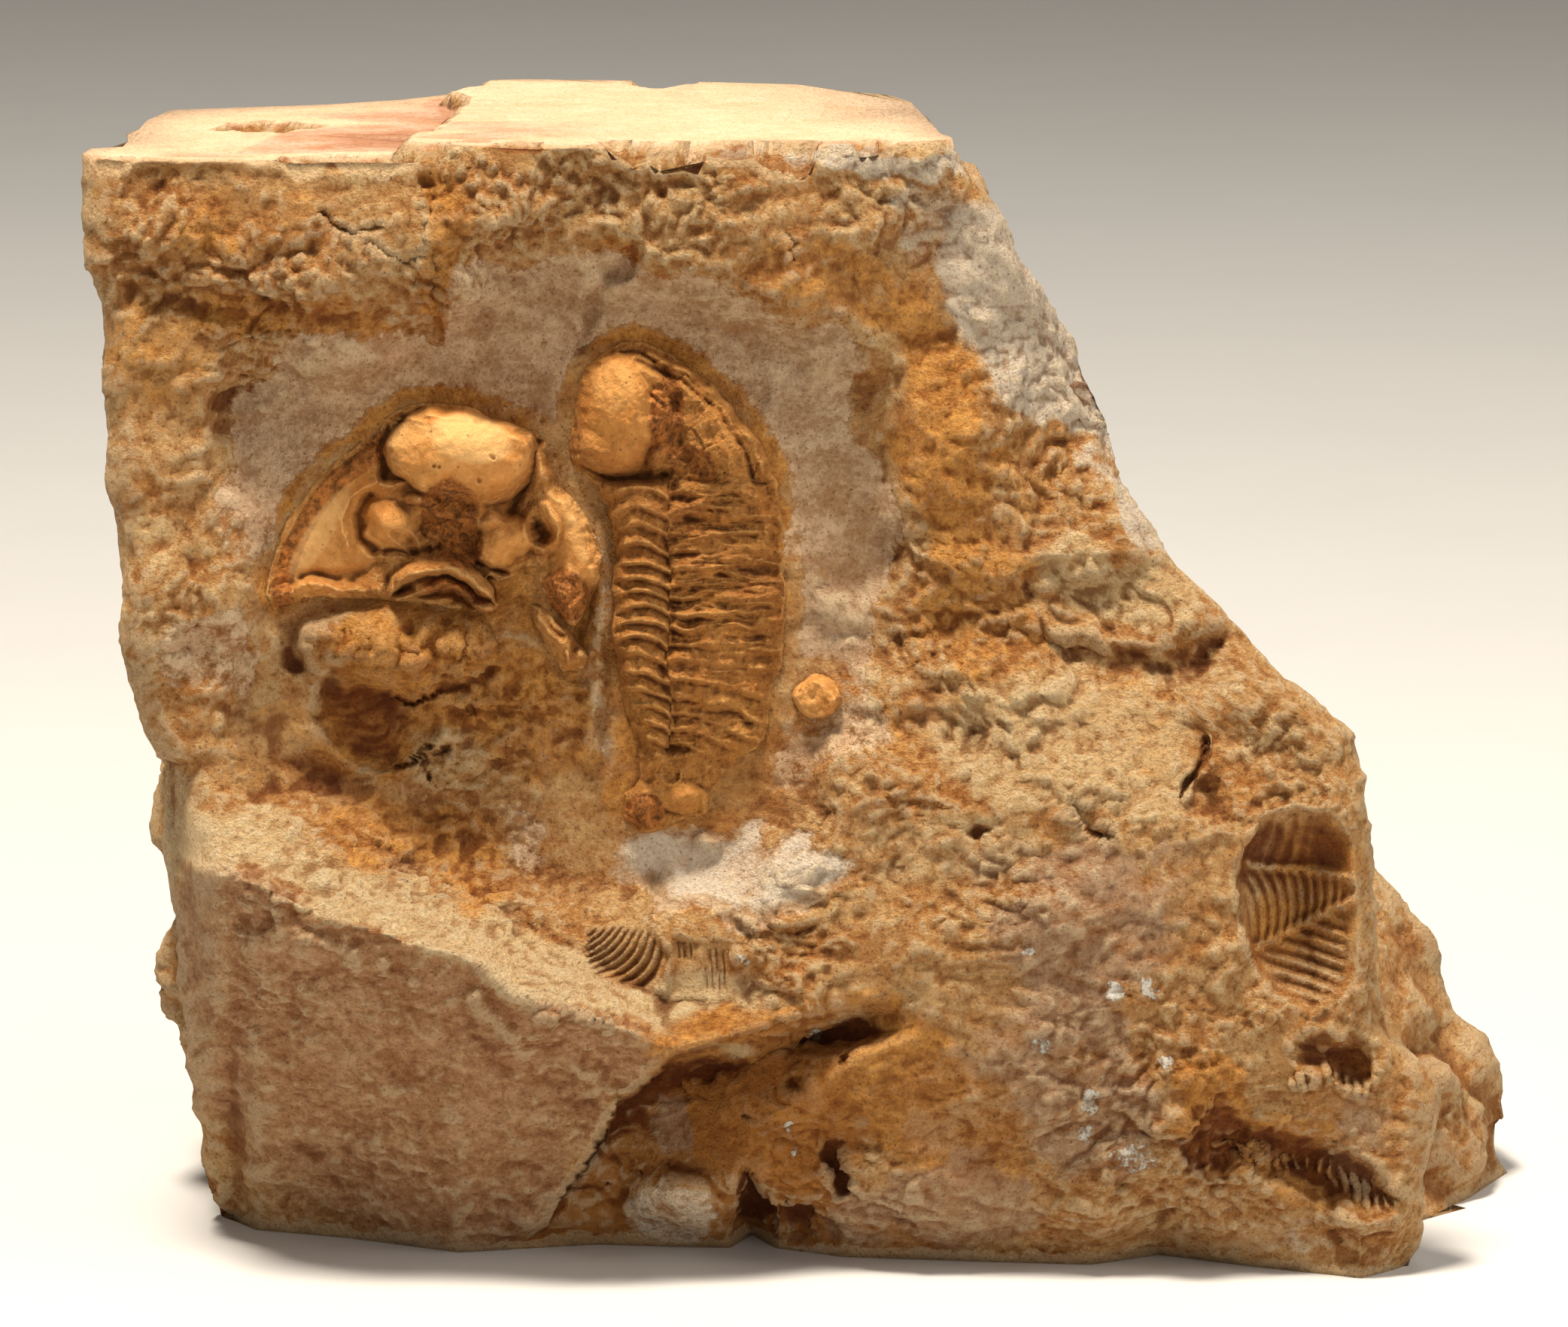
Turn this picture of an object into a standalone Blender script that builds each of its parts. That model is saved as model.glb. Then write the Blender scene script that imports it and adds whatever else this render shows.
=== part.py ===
"""A trilobite fossil: two trilobites and smaller remains in an upright limestone block with a sawn flat top.

Shapes on the front are drawn on a chart: a runs across and b up, in millimetres, square to a viewer who looks
slightly down on the stone. The relief of a point is how far it stands out of the stone's flat front wall,
measured along the sight line. All else is in the stone's own frame: millimetres, +X right, +Y back, +Z up.
"""

import bpy
import numpy as np

MM = 0.001

# The viewer of the chart
EYE_DISTANCE = 600.0
EYE_RISE = np.radians(11.0)
CHART_EYE_B = 54.5
WALL_Y = -28.0
WALL_Z = 56.5

# The block
TOP_LEFT_Z = 101.4
TOP_RIGHT_Z = 102.6
TOP_STEP_X = -30.5
CENTRE_SHIFT = (-3.486, 1.056)
BASIN_DEPTH = 4.0
RECESS_DEPTH = 9.5
FOOT_ROUNDING = 6.0
EDGE_ROUNDING = 2.4
EDGE_DROP = 2.2
LEFT_FOOT_SWELL = 3.4
RIGHT_FOOT_SWELL = 4.8
BACK_SWELL = 3.0

# Size and height of the break marks: fine ones all over, bold ones on the sides and the back
FINE_CHIP = (7.0, 0.9)
FINE_RUBBLE = (6.0, 0.8)
BOLD_CHIP = (19.0, 3.4)
BOLD_RUBBLE = (14.0, 1.6)

# The fossils
SOCKET_GAP = 0.4
FOSSIL_BED = -8.0
CUTTER_REACH = 14.0
BOX_MARGIN = 0.6

# Colour and roughness
LIMESTONE = (0.62, 0.42, 0.21)
FINISHES = {
    "centre_trilobite": ((0.52, 0.32, 0.12), 0.7),
    "left_trilobite_head": ((0.66, 0.45, 0.20), 0.65),
    "cheek_fragment": ((0.58, 0.38, 0.16), 0.75),
    "small_shell": ((0.66, 0.46, 0.24), 0.75),
}

# Triangles left in each solid
STONE_TRIANGLES = 4900
TRILOBITE_TRIANGLES = 1500
HEAD_TRIANGLES = 900
FRAGMENT_TRIANGLES = 160
SHELL_TRIANGLES = 90
MOULD_TRIANGLES = 760

# Chart outlines of the front, each point (a, b)
LEFT_EDGE = [
    (-48.7, 5.1), (-51.4, 9.5), (-53.1, 14.6), (-53.1, 18.5), (-51.9, 22.0), (-51.4, 27.8), (-52.5, 37.5),
    (-53.6, 45.8), (-55.3, 46.4), (-56.6, 48.3), (-57.6, 51.3), (-58.7, 58.0), (-59.4, 67.9), (-60.3, 79.6),
    (-60.4, 86.5), (-62.2, 90.0), (-62.2, 100.5),
]
RIGHT_EDGE = [
    (55.3, 1.1), (56.9, 4.3), (56.5, 8.5), (58.1, 15.6), (57.7, 17.9), (53.9, 21.9), (53.1, 25.4),
    (52.3, 33.3), (51.3, 44.6), (50.6, 48.2), (45.2, 52.1), (38.6, 59.4), (34.5, 62.8), (32.0, 66.6),
    (29.8, 71.1), (29.3, 75.9), (27.2, 79.6), (25.7, 83.9), (23.2, 87.6), (19.5, 93.8), (16.5, 97.8),
    (14.7, 100.7),
]
BOTTOM_EDGE = [
    (-48.7, 5.1), (-46.8, 4.3), (-38.8, 3.6), (-28.8, 2.3), (-16.8, 3.0), (-4.8, 2.7), (-2.8, 3.9),
    (-0.8, 2.7), (5.2, 1.9), (17.0, 1.5), (27.2, 1.2), (33.2, 2.1), (41.2, 1.1), (51.2, 0.0), (55.3, 1.1),
]
TOP_EDGE = [
    (-62.2, 99.6), (-57.0, 99.2), (-31.0, 99.2), (-28.0, 100.6), (-15.0, 100.2), (-12.0, 99.4),
    (4.0, 99.6), (14.7, 100.4),
]

# Plan of the block behind the front, each point (X, Y), in order right wall, back, left wall
TOP_RIGHT_WALL = [(14.5, -28.0), (13.3, -12.4), (11.7, 6.2)]
TOP_BACK = [
    (11.7, 6.2), (9.7, 12.6), (5.5, 15.8), (1.3, 21.7), (-9.4, 24.4), (-24.6, 26.4), (-31.0, 25.0),
    (-36.0, 19.4), (-43.0, 15.2), (-57.0, 10.7),
]
TOP_LEFT_WALL = [(-57.0, 10.7), (-58.4, 1.9), (-58.6, -19.0), (-61.0, -21.5), (-61.0, -28.0)]
FOOT_RIGHT_WALL = [(55.0, -26.0), (54.0, -17.0), (59.0, -9.0), (64.5, -1.0), (69.0, 8.0)]
FOOT_BACK = [
    (69.0, 8.0), (66.0, 19.0), (48.0, 27.0), (20.0, 31.0), (-14.0, 32.0), (-38.0, 27.0), (-51.0, 16.0),
]
FOOT_LEFT_WALL = [(-51.0, 16.0), (-53.0, 2.0), (-51.0, -10.0), (-48.0, -14.0)]

# How far the front stands out, in millimetres, where the columns (a) cross the rows (b)
LEVEL_COLUMNS = (-62, -45, -30, -15, 0, 15, 30, 45, 58)
LEVEL_ROWS = (0, 10, 20, 30, 40, 50, 58, 66, 75, 84, 92, 101)
LEVELS = (
    (-4.0, -4.0, -4.0, -4.0, -5.0, -2.0, -2.0, -1.0, -2.0),
    (-2.0, -2.0, -2.0, -2.0, -2.0, 0.5, 0.5, 0.5, 0.0),
    (-1.0, -1.0, -1.0, 0.0, 1.5, 3.0, 3.0, 2.0, -1.0),
    (-1.0, -0.5, -0.5, 0.0, 1.5, 3.0, 3.5, 2.0, -1.0),
    (-1.5, -1.0, -1.0, 0.0, 0.0, 1.5, 2.5, 1.5, -1.0),
    (-0.5, 0.0, 0.0, 0.0, -0.5, -1.0, -1.0, -1.0, -3.0),
    (-0.5, 0.0, 0.0, 0.0, -0.5, -3.0, -3.5, -4.0, -6.0),
    (-0.5, 0.0, 0.0, 0.0, -0.5, -2.5, -5.0, -8.0, -10.0),
    (-0.5, 0.0, 0.0, 0.0, 0.0, -2.0, -9.0, -12.0, -12.0),
    (-0.5, 0.5, -0.5, 0.0, 0.0, -4.0, -11.0, -12.0, -12.0),
    (-0.5, 1.5, 0.5, 0.0, 0.0, -4.0, -9.0, -10.0, -10.0),
    (-1.0, 1.0, 0.0, 0.0, 0.0, -3.0, -8.0, -10.0, -10.0),
)

# The hollow that was cleared around the fossils
BASIN = [
    (-49.0, 52.0), (-47.0, 44.0), (-38.0, 40.0), (-26.0, 34.0), (-16.0, 33.0), (-4.0, 34.0), (4.0, 39.0),
    (8.0, 48.0), (10.0, 60.0), (10.0, 70.0), (8.0, 79.0), (3.0, 85.0), (-6.0, 89.0), (-16.0, 92.0),
    (-27.0, 91.0), (-30.0, 85.0), (-44.0, 83.5), (-50.0, 77.0), (-48.5, 66.0),
]

# The bright shelf, its crest and the dark facet under it
CREST = [
    (-62.0, 36.5), (-53.1, 36.1), (-48.7, 35.8), (-46.5, 34.8), (-38.9, 31.3), (-27.8, 28.4), (-24.3, 25.6),
    (-18.7, 23.7), (-14.6, 22.3), (-10.4, 20.5), (-6.9, 21.2), (-3.5, 21.7), (3.0, 24.0), (10.0, 26.0),
    (60.0, 26.0),
]
CREST_HEIGHT = [
    (-62.0, 2.0), (-53.0, 3.0), (-46.0, 6.0), (-38.0, 7.0), (-24.0, 7.0), (-10.0, 5.5), (-3.5, 4.0),
]
SHELF_RISE = [(-62.0, 10.0), (-40.0, 9.0), (-30.0, 6.5), (-20.0, 6.0), (-10.0, 4.0), (-3.5, 3.0)]
FACET_EDGE = [(2.1, -23.6), (4.9, -21.5), (11.1, -17.4), (16.0, -13.9), (19.8, -9.7), (21.7, -3.5)]

# The hanging scallop at the right
SCALLOP = [(22.0, 58.6), (24.3, 57.7), (29.2, 56.1), (33.3, 55.9), (36.8, 57.0), (39.3, 58.4)]

# Centre trilobite
TRILOBITE_LEFT = [
    (-12.6, 39.7), (-14.1, 41.0), (-14.2, 42.8), (-12.6, 44.2), (-12.6, 46.0), (-13.7, 50.0), (-14.6, 53.0),
    (-15.0, 57.0), (-14.9, 64.0), (-15.4, 68.0), (-16.4, 70.4), (-18.4, 71.6), (-18.9, 73.4), (-18.6, 76.0),
    (-18.3, 78.0), (-17.4, 80.5), (-16.0, 82.0), (-14.6, 82.8),
]
TRILOBITE_RIGHT = [
    (-11.0, 39.8), (-7.3, 41.4), (-6.9, 43.0), (-4.3, 46.0), (-1.8, 47.8), (-1.4, 50.0), (-0.9, 52.5),
    (-0.3, 55.0), (-0.1, 59.0), (-0.1, 64.0), (-0.4, 67.0), (-0.7, 70.0), (-1.3, 72.0), (-2.3, 74.0),
    (-3.8, 76.0), (-5.3, 78.0), (-7.2, 79.6), (-9.2, 81.2), (-11.2, 82.3), (-12.6, 82.9),
]
RING_CRESTS = (
    71.9, 70.3, 68.5, 66.9, 65.3, 63.7, 62.2, 61.0, 59.7, 58.3, 56.9, 55.5, 53.8, 52.3, 50.9, 49.5, 48.1,
    46.7, 45.3,
)
AXIS_A = -13.0
AXIS_HALF_WIDTH = 3.3
AXIS_HEIGHT = 3.4
FLANK_WIDTH = 11.0
FLANK_HEIGHT = 2.5
FURROW_A = -10.2
INNER_RIB_A = -7.2

# Left head, and the pieces near it
HEAD_BORDER = [
    (-45.3, 59.3), (-45.8, 60.6), (-45.6, 62.0), (-44.9, 64.5), (-43.8, 67.0), (-42.3, 69.5), (-40.3, 71.8),
    (-37.4, 73.9), (-35.9, 75.0), (-35.3, 76.2), (-33.2, 77.1), (-31.4, 77.5), (-28.6, 77.3), (-24.9, 75.9),
    (-22.6, 75.0), (-21.2, 74.4), (-21.0, 72.0), (-20.2, 70.4), (-18.6, 68.8), (-17.3, 67.2), (-16.4, 64.6),
    (-16.4, 62.2), (-17.2, 59.8), (-18.4, 58.0), (-19.1, 58.1), (-20.8, 59.9), (-21.6, 61.2), (-21.9, 63.4),
    (-23.3, 63.2), (-24.0, 62.3), (-25.8, 61.8), (-25.1, 60.8), (-25.6, 59.6), (-27.0, 59.2), (-34.6, 60.3),
    (-38.6, 60.5), (-42.5, 60.4), (-44.3, 59.6),
]
CHEEK_FRAGMENT = [
    (-22.5, 59.7), (-21.5, 59.5), (-20.0, 57.9), (-19.0, 57.2), (-18.0, 56.1), (-17.3, 55.0), (-17.8, 54.0),
    (-19.5, 53.8), (-20.1, 54.8), (-21.3, 56.8), (-22.3, 58.6),
]
SHELL_MIDDLE = (2.9, 51.6)
SHELL_RADIUS = 1.9
SHELL_STEP = 24.0

# The ribbed mould at the right edge, and its two furrow crests
MOULD = [
    (45.3, 42.3), (42.5, 41.2), (40.4, 38.4), (39.8, 35.6), (40.3, 32.0), (41.2, 28.6), (43.4, 25.2),
    (46.8, 23.1), (49.6, 24.6), (51.4, 26.6), (51.7, 33.0), (51.2, 39.4), (48.6, 41.7),
]
UPPER_FURROW = [(39.8, 36.9), (42.4, 36.5), (46.2, 36.2), (49.6, 35.6), (52.0, 35.0)]
LOWER_FURROW = [(39.8, 28.4), (42.8, 29.8), (46.2, 31.6), (49.5, 33.1), (52.0, 34.2)]

# Columns, rows, depth steps and back columns of the block's grid, and the height that counts as its seat
STONE_GRID = (180, 150, 24, 60)
SEAT_SNAP = 0.02


def ease(x, low, high):
    """Smooth step: 0 below low, 1 above high, 3t^2 - 2t^3 between."""
    t = np.clip((x - low) / (high - low), 0.0, 1.0)
    return t * t * (3.0 - 2.0 * t)


def follow(x, points):
    """Second value of a hand-drawn line of (first, second) points, read at x."""
    first, second = np.transpose(points)
    return np.interp(x, first, second)


def at_height(b, points):
    """The a of an edge drawn as (a, b) points, read at b."""
    across, up = np.transpose(points)
    return np.interp(b, up, across)


def lump(a, b, middle, size, turn=0.0, power=1.0):
    """A dome of height 1 on a turned ellipse: (1 - rho^2) to a power inside it, 0 outside."""
    across = a - middle[0]
    up = b - middle[1]
    angle = np.radians(turn)
    along = across * np.cos(angle) + up * np.sin(angle)
    beside = up * np.cos(angle) - across * np.sin(angle)
    rho_squared = (along / size[0]) ** 2 + (beside / size[1]) ** 2
    return np.clip(1.0 - rho_squared, 0.0, 1.0) ** power


def line_distance(a, b, points):
    """Distance from each chart point to a line through the points."""
    nearest = np.full(np.shape(a), np.inf)
    for (a0, b0), (a1, b1) in zip(points, points[1:]):
        da = a1 - a0
        db = b1 - b0
        t = np.clip(((a - a0) * da + (b - b0) * db) / (da * da + db * db), 0.0, 1.0)
        nearest = np.minimum(nearest, np.hypot(a - a0 - t * da, b - b0 - t * db))
    return nearest


def depth_inside(a, b, outline):
    """Distance to a closed outline: positive inside it, negative outside."""
    inside = np.zeros(np.shape(a), dtype=bool)
    ring = outline + outline[:1]
    for (a0, b0), (a1, b1) in zip(ring, ring[1:]):
        spans = (b0 > b) != (b1 > b)
        crossing = a0 + (b - b0) * (a1 - a0) / (b1 - b0 if b1 != b0 else 1.0)
        inside ^= spans & (a < crossing)
    return np.where(inside, 1.0, -1.0) * line_distance(a, b, ring)


def groove(a, b, points, width, depth):
    """A V-shaped groove along a line, negative: -depth on the line, 0 at half the width from it."""
    return -depth * (1.0 - ease(line_distance(a, b, points), 0.0, 0.5 * width))


def scatter(cell, seed):
    """A repeatable number from 0 to 1 for each lattice cell."""
    x, y, z = np.moveaxis(cell.astype(np.int64).astype(np.uint64), -1, 0)
    mixed = x * np.uint64(73856093) ^ y * np.uint64(19349663) ^ z * np.uint64(83492791)
    mixed = (mixed ^ np.uint64(seed * 40503 + 977)) & np.uint64(0xFFFFFFFF)
    for factor in (2246822519, 3266489917):
        mixed = ((mixed ^ (mixed >> np.uint64(15))) * np.uint64(factor)) & np.uint64(0xFFFFFFFF)
    return (mixed ^ (mixed >> np.uint64(16))) / 4294967296.0


def noise(p, size, seed):
    """Smooth random field from -1 to 1: lattice values every `size`, blended by 6t^5 - 15t^4 + 10t^3."""
    place = p / size
    cell = np.floor(place)
    t = place - cell
    blend = t * t * t * (t * (t * 6.0 - 15.0) + 10.0)
    total = np.zeros(p.shape[:-1])
    for corner in np.ndindex(2, 2, 2):
        weight = np.prod(np.where(corner, blend, 1.0 - blend), axis=-1)
        total += weight * scatter(cell + corner, seed)
    return 2.0 * total - 1.0


def rubble(p, size, octaves, seed):
    """Sum of noise fields, each half as large and half as strong as the one before."""
    return sum(noise(p, size / 2**i, seed + i) / 2**i for i in range(octaves))


def chips(p, size, seed):
    """Broken facets: the nearest of scattered points gives each place its own tilted plane."""
    place = p / size
    home = np.floor(place)
    nearest = np.full(p.shape[:-1], np.inf)
    value = np.zeros(p.shape[:-1])
    for step in np.ndindex(3, 3, 3):
        cell = home + np.array(step) - 1.0
        seat = cell + np.stack([scatter(cell, seed + i) for i in range(3)], axis=-1)
        tilt = np.stack([scatter(cell, seed + 3 + i) for i in range(3)], axis=-1) - 0.5
        offset = place - seat
        distance = np.sum(offset * offset, axis=-1)
        closer = distance < nearest
        nearest = np.where(closer, distance, nearest)
        value = np.where(closer, np.sum(offset * tilt, axis=-1) + scatter(cell, seed + 6) - 0.5, value)
    return value


def on_chart(a, b, relief):
    """World points in millimetres: C + (E - C) * r / D, with r the wall's own distance plus the relief."""
    up = b - CHART_EYE_B
    sine = np.sin(EYE_RISE)
    cosine = np.cos(EYE_RISE)
    wall = EYE_DISTANCE * up * sine / (EYE_DISTANCE * cosine + up * sine)
    share = (wall + relief) / EYE_DISTANCE
    x = a * (1.0 - share)
    y = WALL_Y + up * sine - (EYE_DISTANCE * cosine + up * sine) * share
    z = WALL_Z + up * cosine + (EYE_DISTANCE * sine - up * cosine) * share
    return np.stack([x, y, z], axis=-1)


def to_chart(points):
    """Chart place (a, b) at which the viewer sees each world point."""
    sine = np.sin(EYE_RISE)
    cosine = np.cos(EYE_RISE)
    x, y, z = np.moveaxis(points, -1, 0)
    back = y - WALL_Y + EYE_DISTANCE * cosine
    over = z - WALL_Z - EYE_DISTANCE * sine
    away = back * cosine - over * sine
    return x * EYE_DISTANCE / away, (back * sine + over * cosine) * EYE_DISTANCE / away + CHART_EYE_B


def floor_relief(b):
    """The relief at which the sight line through b meets the floor."""
    up = b - CHART_EYE_B
    sine = np.sin(EYE_RISE)
    cosine = np.cos(EYE_RISE)
    wall = EYE_DISTANCE * up * sine / (EYE_DISTANCE * cosine + up * sine)
    return -EYE_DISTANCE * (WALL_Z + up * cosine) / (EYE_DISTANCE * sine - up * cosine) - wall


def level(a, b):
    """The front's large form, read smoothly between the crossings of LEVELS."""
    table = np.array(LEVELS)
    column = np.interp(a, LEVEL_COLUMNS, range(len(LEVEL_COLUMNS)))
    row = np.interp(b, LEVEL_ROWS, range(len(LEVEL_ROWS)))
    i = np.clip(np.floor(column).astype(int), 0, len(LEVEL_COLUMNS) - 2)
    j = np.clip(np.floor(row).astype(int), 0, len(LEVEL_ROWS) - 2)
    s = ease(column - i, 0.0, 1.0)
    t = ease(row - j, 0.0, 1.0)
    low = table[j, i] * (1.0 - s) + table[j, i + 1] * s
    high = table[j + 1, i] * (1.0 - s) + table[j + 1, i + 1] * s
    return low * (1.0 - t) + high * t


def upper_marks(a, b):
    """Furrow, block edge, lumps and small hollows above and beside the fossils."""
    marks = groove(a, b, [(-47.0, 85.2), (-40.0, 84.2), (-30.0, 84.0)], 2.4, 1.8)
    marks += groove(a, b, [(-31.6, 97.0), (-31.4, 91.0), (-30.4, 84.5)], 1.4, 0.9)
    marks += 1.3 * lump(a, b, (-42.0, 88.3), (5.0, 2.8), 0.0, 1.0)
    marks += 1.0 * lump(a, b, (-54.0, 93.0), (5.0, 3.5), 20.0, 1.0)
    marks -= 1.3 * lump(a, b, (-14.3, 89.9), (2.7, 1.5), 35.0, 0.7)
    marks += groove(a, b, [(-15.2, 89.4), (-16.8, 87.0), (-18.0, 83.0)], 2.6, 0.8)
    marks -= 1.5 * lump(a, b, (-50.7, 55.6), (4.0, 3.4), 0.0, 0.8)
    marks += 1.4 * lump(a, b, (-56.0, 60.0), (4.0, 5.0), 0.0, 1.0)
    return marks


def middle_marks(a, b):
    """The rubble around the left tail mould, the mould itself, and the ridge between the two trilobites."""
    marks = 2.6 * lump(a, b, (-34.5, 57.0), (9.0, 4.0), -4.0, 0.7)
    marks -= 2.6 * lump(a, b, (-36.4, 49.8), (5.4, 4.6), -35.0, 0.6)
    marks -= 1.2 * lump(a, b, (-40.6, 43.8), (3.6, 2.5), -25.0, 0.8)
    marks += 1.0 * lump(a, b, (-28.0, 51.0), (3.2, 1.4), -8.0, 0.6)
    marks += 1.6 * (1.0 - ease(line_distance(a, b, [(-15.7, 66.0), (-15.5, 58.0), (-16.8, 46.0)]), 0.0, 1.2))
    marks += 1.0 * lump(a, b, (5.2, 59.1), (2.3, 2.3), 0.0, 0.8)
    marks += 0.8 * lump(a, b, (-7.0, 38.3), (1.6, 0.8), 0.0, 0.6)
    return marks


def right_marks(a, b):
    """The scallop ledge and the small shell scraps on the right half."""
    under = follow(a, SCALLOP) - b
    span = ease(a, 21.0, 25.0) * ease(a, 42.0, 38.5)
    marks = -2.4 * span * ease(under, -0.4, 0.8) * ease(under, 7.0, 2.0)
    marks -= 2.0 * lump(a, b, (30.5, 60.5), (7.0, 3.6), 4.0, 0.9) * (under < 0.4)
    marks -= 0.9 * lump(a, b, (27.4, 40.7), (2.6, 0.9), -48.0, 0.6)
    marks -= 1.1 * lump(a, b, (37.6, 42.6), (2.4, 2.6), 30.0, 0.8)
    marks += 0.7 * lump(a, b, (24.3, 52.1), (1.6, 1.1), 0.0, 0.6)
    marks -= 0.9 * lump(a, b, (17.2, 39.3), (1.3, 0.9), 0.0, 0.7)
    marks += 1.5 * lump(a, b, (20.0, 31.0), (9.0, 4.0), 10.0, 1.0)
    return marks


def lower_right_marks(a, b):
    """The two comb-like moulds, the orange hollow and the lumps of the heavy lower right."""
    marks = -3.0 * lump(a, b, (48.9, 19.3), (3.9, 2.1), -25.0, 0.6)
    marks -= 4.0 * lump(a, b, (46.0, 9.0), (9.5, 2.9), -25.0, 0.7)
    marks -= 2.4 * lump(a, b, (37.8, 12.9), (3.6, 3.6), 0.0, 0.8)
    marks += 1.6 * lump(a, b, (52.5, 4.6), (4.6, 3.4), -20.0, 0.8)
    marks += 1.0 * lump(a, b, (30.8, 10.8), (3.4, 2.2), 0.0, 0.8)
    return marks


def lower_left_marks(a, b):
    """Small ledges across the dark facet."""
    ledge = [(-47.0, 29.6), (-42.0, 29.4), (-38.5, 28.0)]
    second = [(-27.0, 24.4), (-23.8, 20.2), (-18.8, 18.4), (-14.8, 15.4)]
    marks = 0.9 * (1.0 - ease(line_distance(a, b, ledge), 0.0, 2.0))
    marks += 0.9 * (1.0 - ease(line_distance(a, b, second), 0.0, 1.8))
    return marks


def recess_marks(a, b):
    """The pale lump, the upright crack and the arch hollow at the foot of the recess."""
    marks = 3.2 * lump(a, b, (-9.6, 5.6), (4.6, 3.6), -25.0, 0.7)
    marks += 1.6 * lump(a, b, (-18.0, 5.0), (3.4, 3.0), 0.0, 0.8)
    marks -= 4.5 * lump(a, b, (-2.6, 4.6), (1.5, 5.4), 12.0, 0.6)
    marks -= 2.6 * lump(a, b, (1.0, 4.8), (1.1, 2.0), -25.0, 0.6)
    marks -= 1.8 * lump(a, b, (4.6, 9.8), (1.0, 2.8), 12.0, 0.7)
    marks -= 1.0 * lump(a, b, (1.1, 17.4), (1.2, 0.8), 0.0, 0.6)
    return marks


def front_relief(a, b):
    """Relief of the stone's front, without its fossils."""
    open_form = level(a, b) - BASIN_DEPTH * ease(depth_inside(a, b, BASIN), -2.0, 4.5)
    open_form = open_form + upper_marks(a, b) + middle_marks(a, b) + right_marks(a, b)

    crest = follow(a, CREST)
    peak = follow(a, CREST_HEIGHT)
    has_shelf = ease(a, 3.0, -6.0)
    above = np.clip((b - crest) / follow(a, SHELF_RISE), 0.0, 1.0)
    shelf = open_form + (peak - open_form) * (1.0 - above) ** 1.25 * has_shelf

    foot_b = follow(a, BOTTOM_EDGE)
    foot = floor_relief(foot_b)
    fall = np.clip((crest - b) / (crest - foot_b), 0.0, 1.0)
    facet = peak + (foot - peak) * fall**1.15 + lower_left_marks(a, b)

    edge = follow(b, FACET_EDGE)
    mass = open_form + lower_right_marks(a, b)
    recess = -RECESS_DEPTH + (mass + RECESS_DEPTH) * ease(a - edge, 2.0, 17.0) + recess_marks(a, b)
    right_side = np.where(b < crest, recess, mass)
    right_side = mass + (right_side - mass) * ease(crest - b, 0.0, 3.0)
    turn_in = (1.0 - np.clip((b - foot_b) / FOOT_ROUNDING, 0.0, 1.0)) ** 1.6
    right_side = right_side + (foot - right_side) * turn_in

    below = np.where(a < edge, facet, right_side)
    relief = np.where(b < crest, below, shelf)

    beside = np.minimum(a - at_height(b, LEFT_EDGE), at_height(b, RIGHT_EDGE) - a)
    return relief - EDGE_DROP * (1.0 - np.clip(beside / EDGE_ROUNDING, 0.0, 1.0)) ** 2


def top_height(x, y):
    """Height of the sawn top: two levels with a worn riser between them, and two shallow chips."""
    height = TOP_LEFT_Z + (TOP_RIGHT_Z - TOP_LEFT_Z) * ease(x - 0.06 * y, TOP_STEP_X - 1.4, TOP_STEP_X + 1.0)
    height = height - 1.1 * lump(x, y, (-47.0, -3.0), (4.6, 5.0), 0.0, 0.8)
    height = height - 1.2 * lump(x, y, (-11.6, 24.0), (3.0, 6.0), 0.0, 0.8)
    return height - 1.4 * lump(x, y, (-4.0, -28.5), (9.0, 2.6), 0.0, 0.6)


def along_path(points, share):
    """Points at each share of the length of a hand-drawn path."""
    path = np.array(points)
    reach = np.concatenate([[0.0], np.cumsum(np.hypot(*np.diff(path, axis=0).T))])
    return np.stack([np.interp(share * reach[-1], reach, path[:, i]) for i in (0, 1)], axis=-1)


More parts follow.
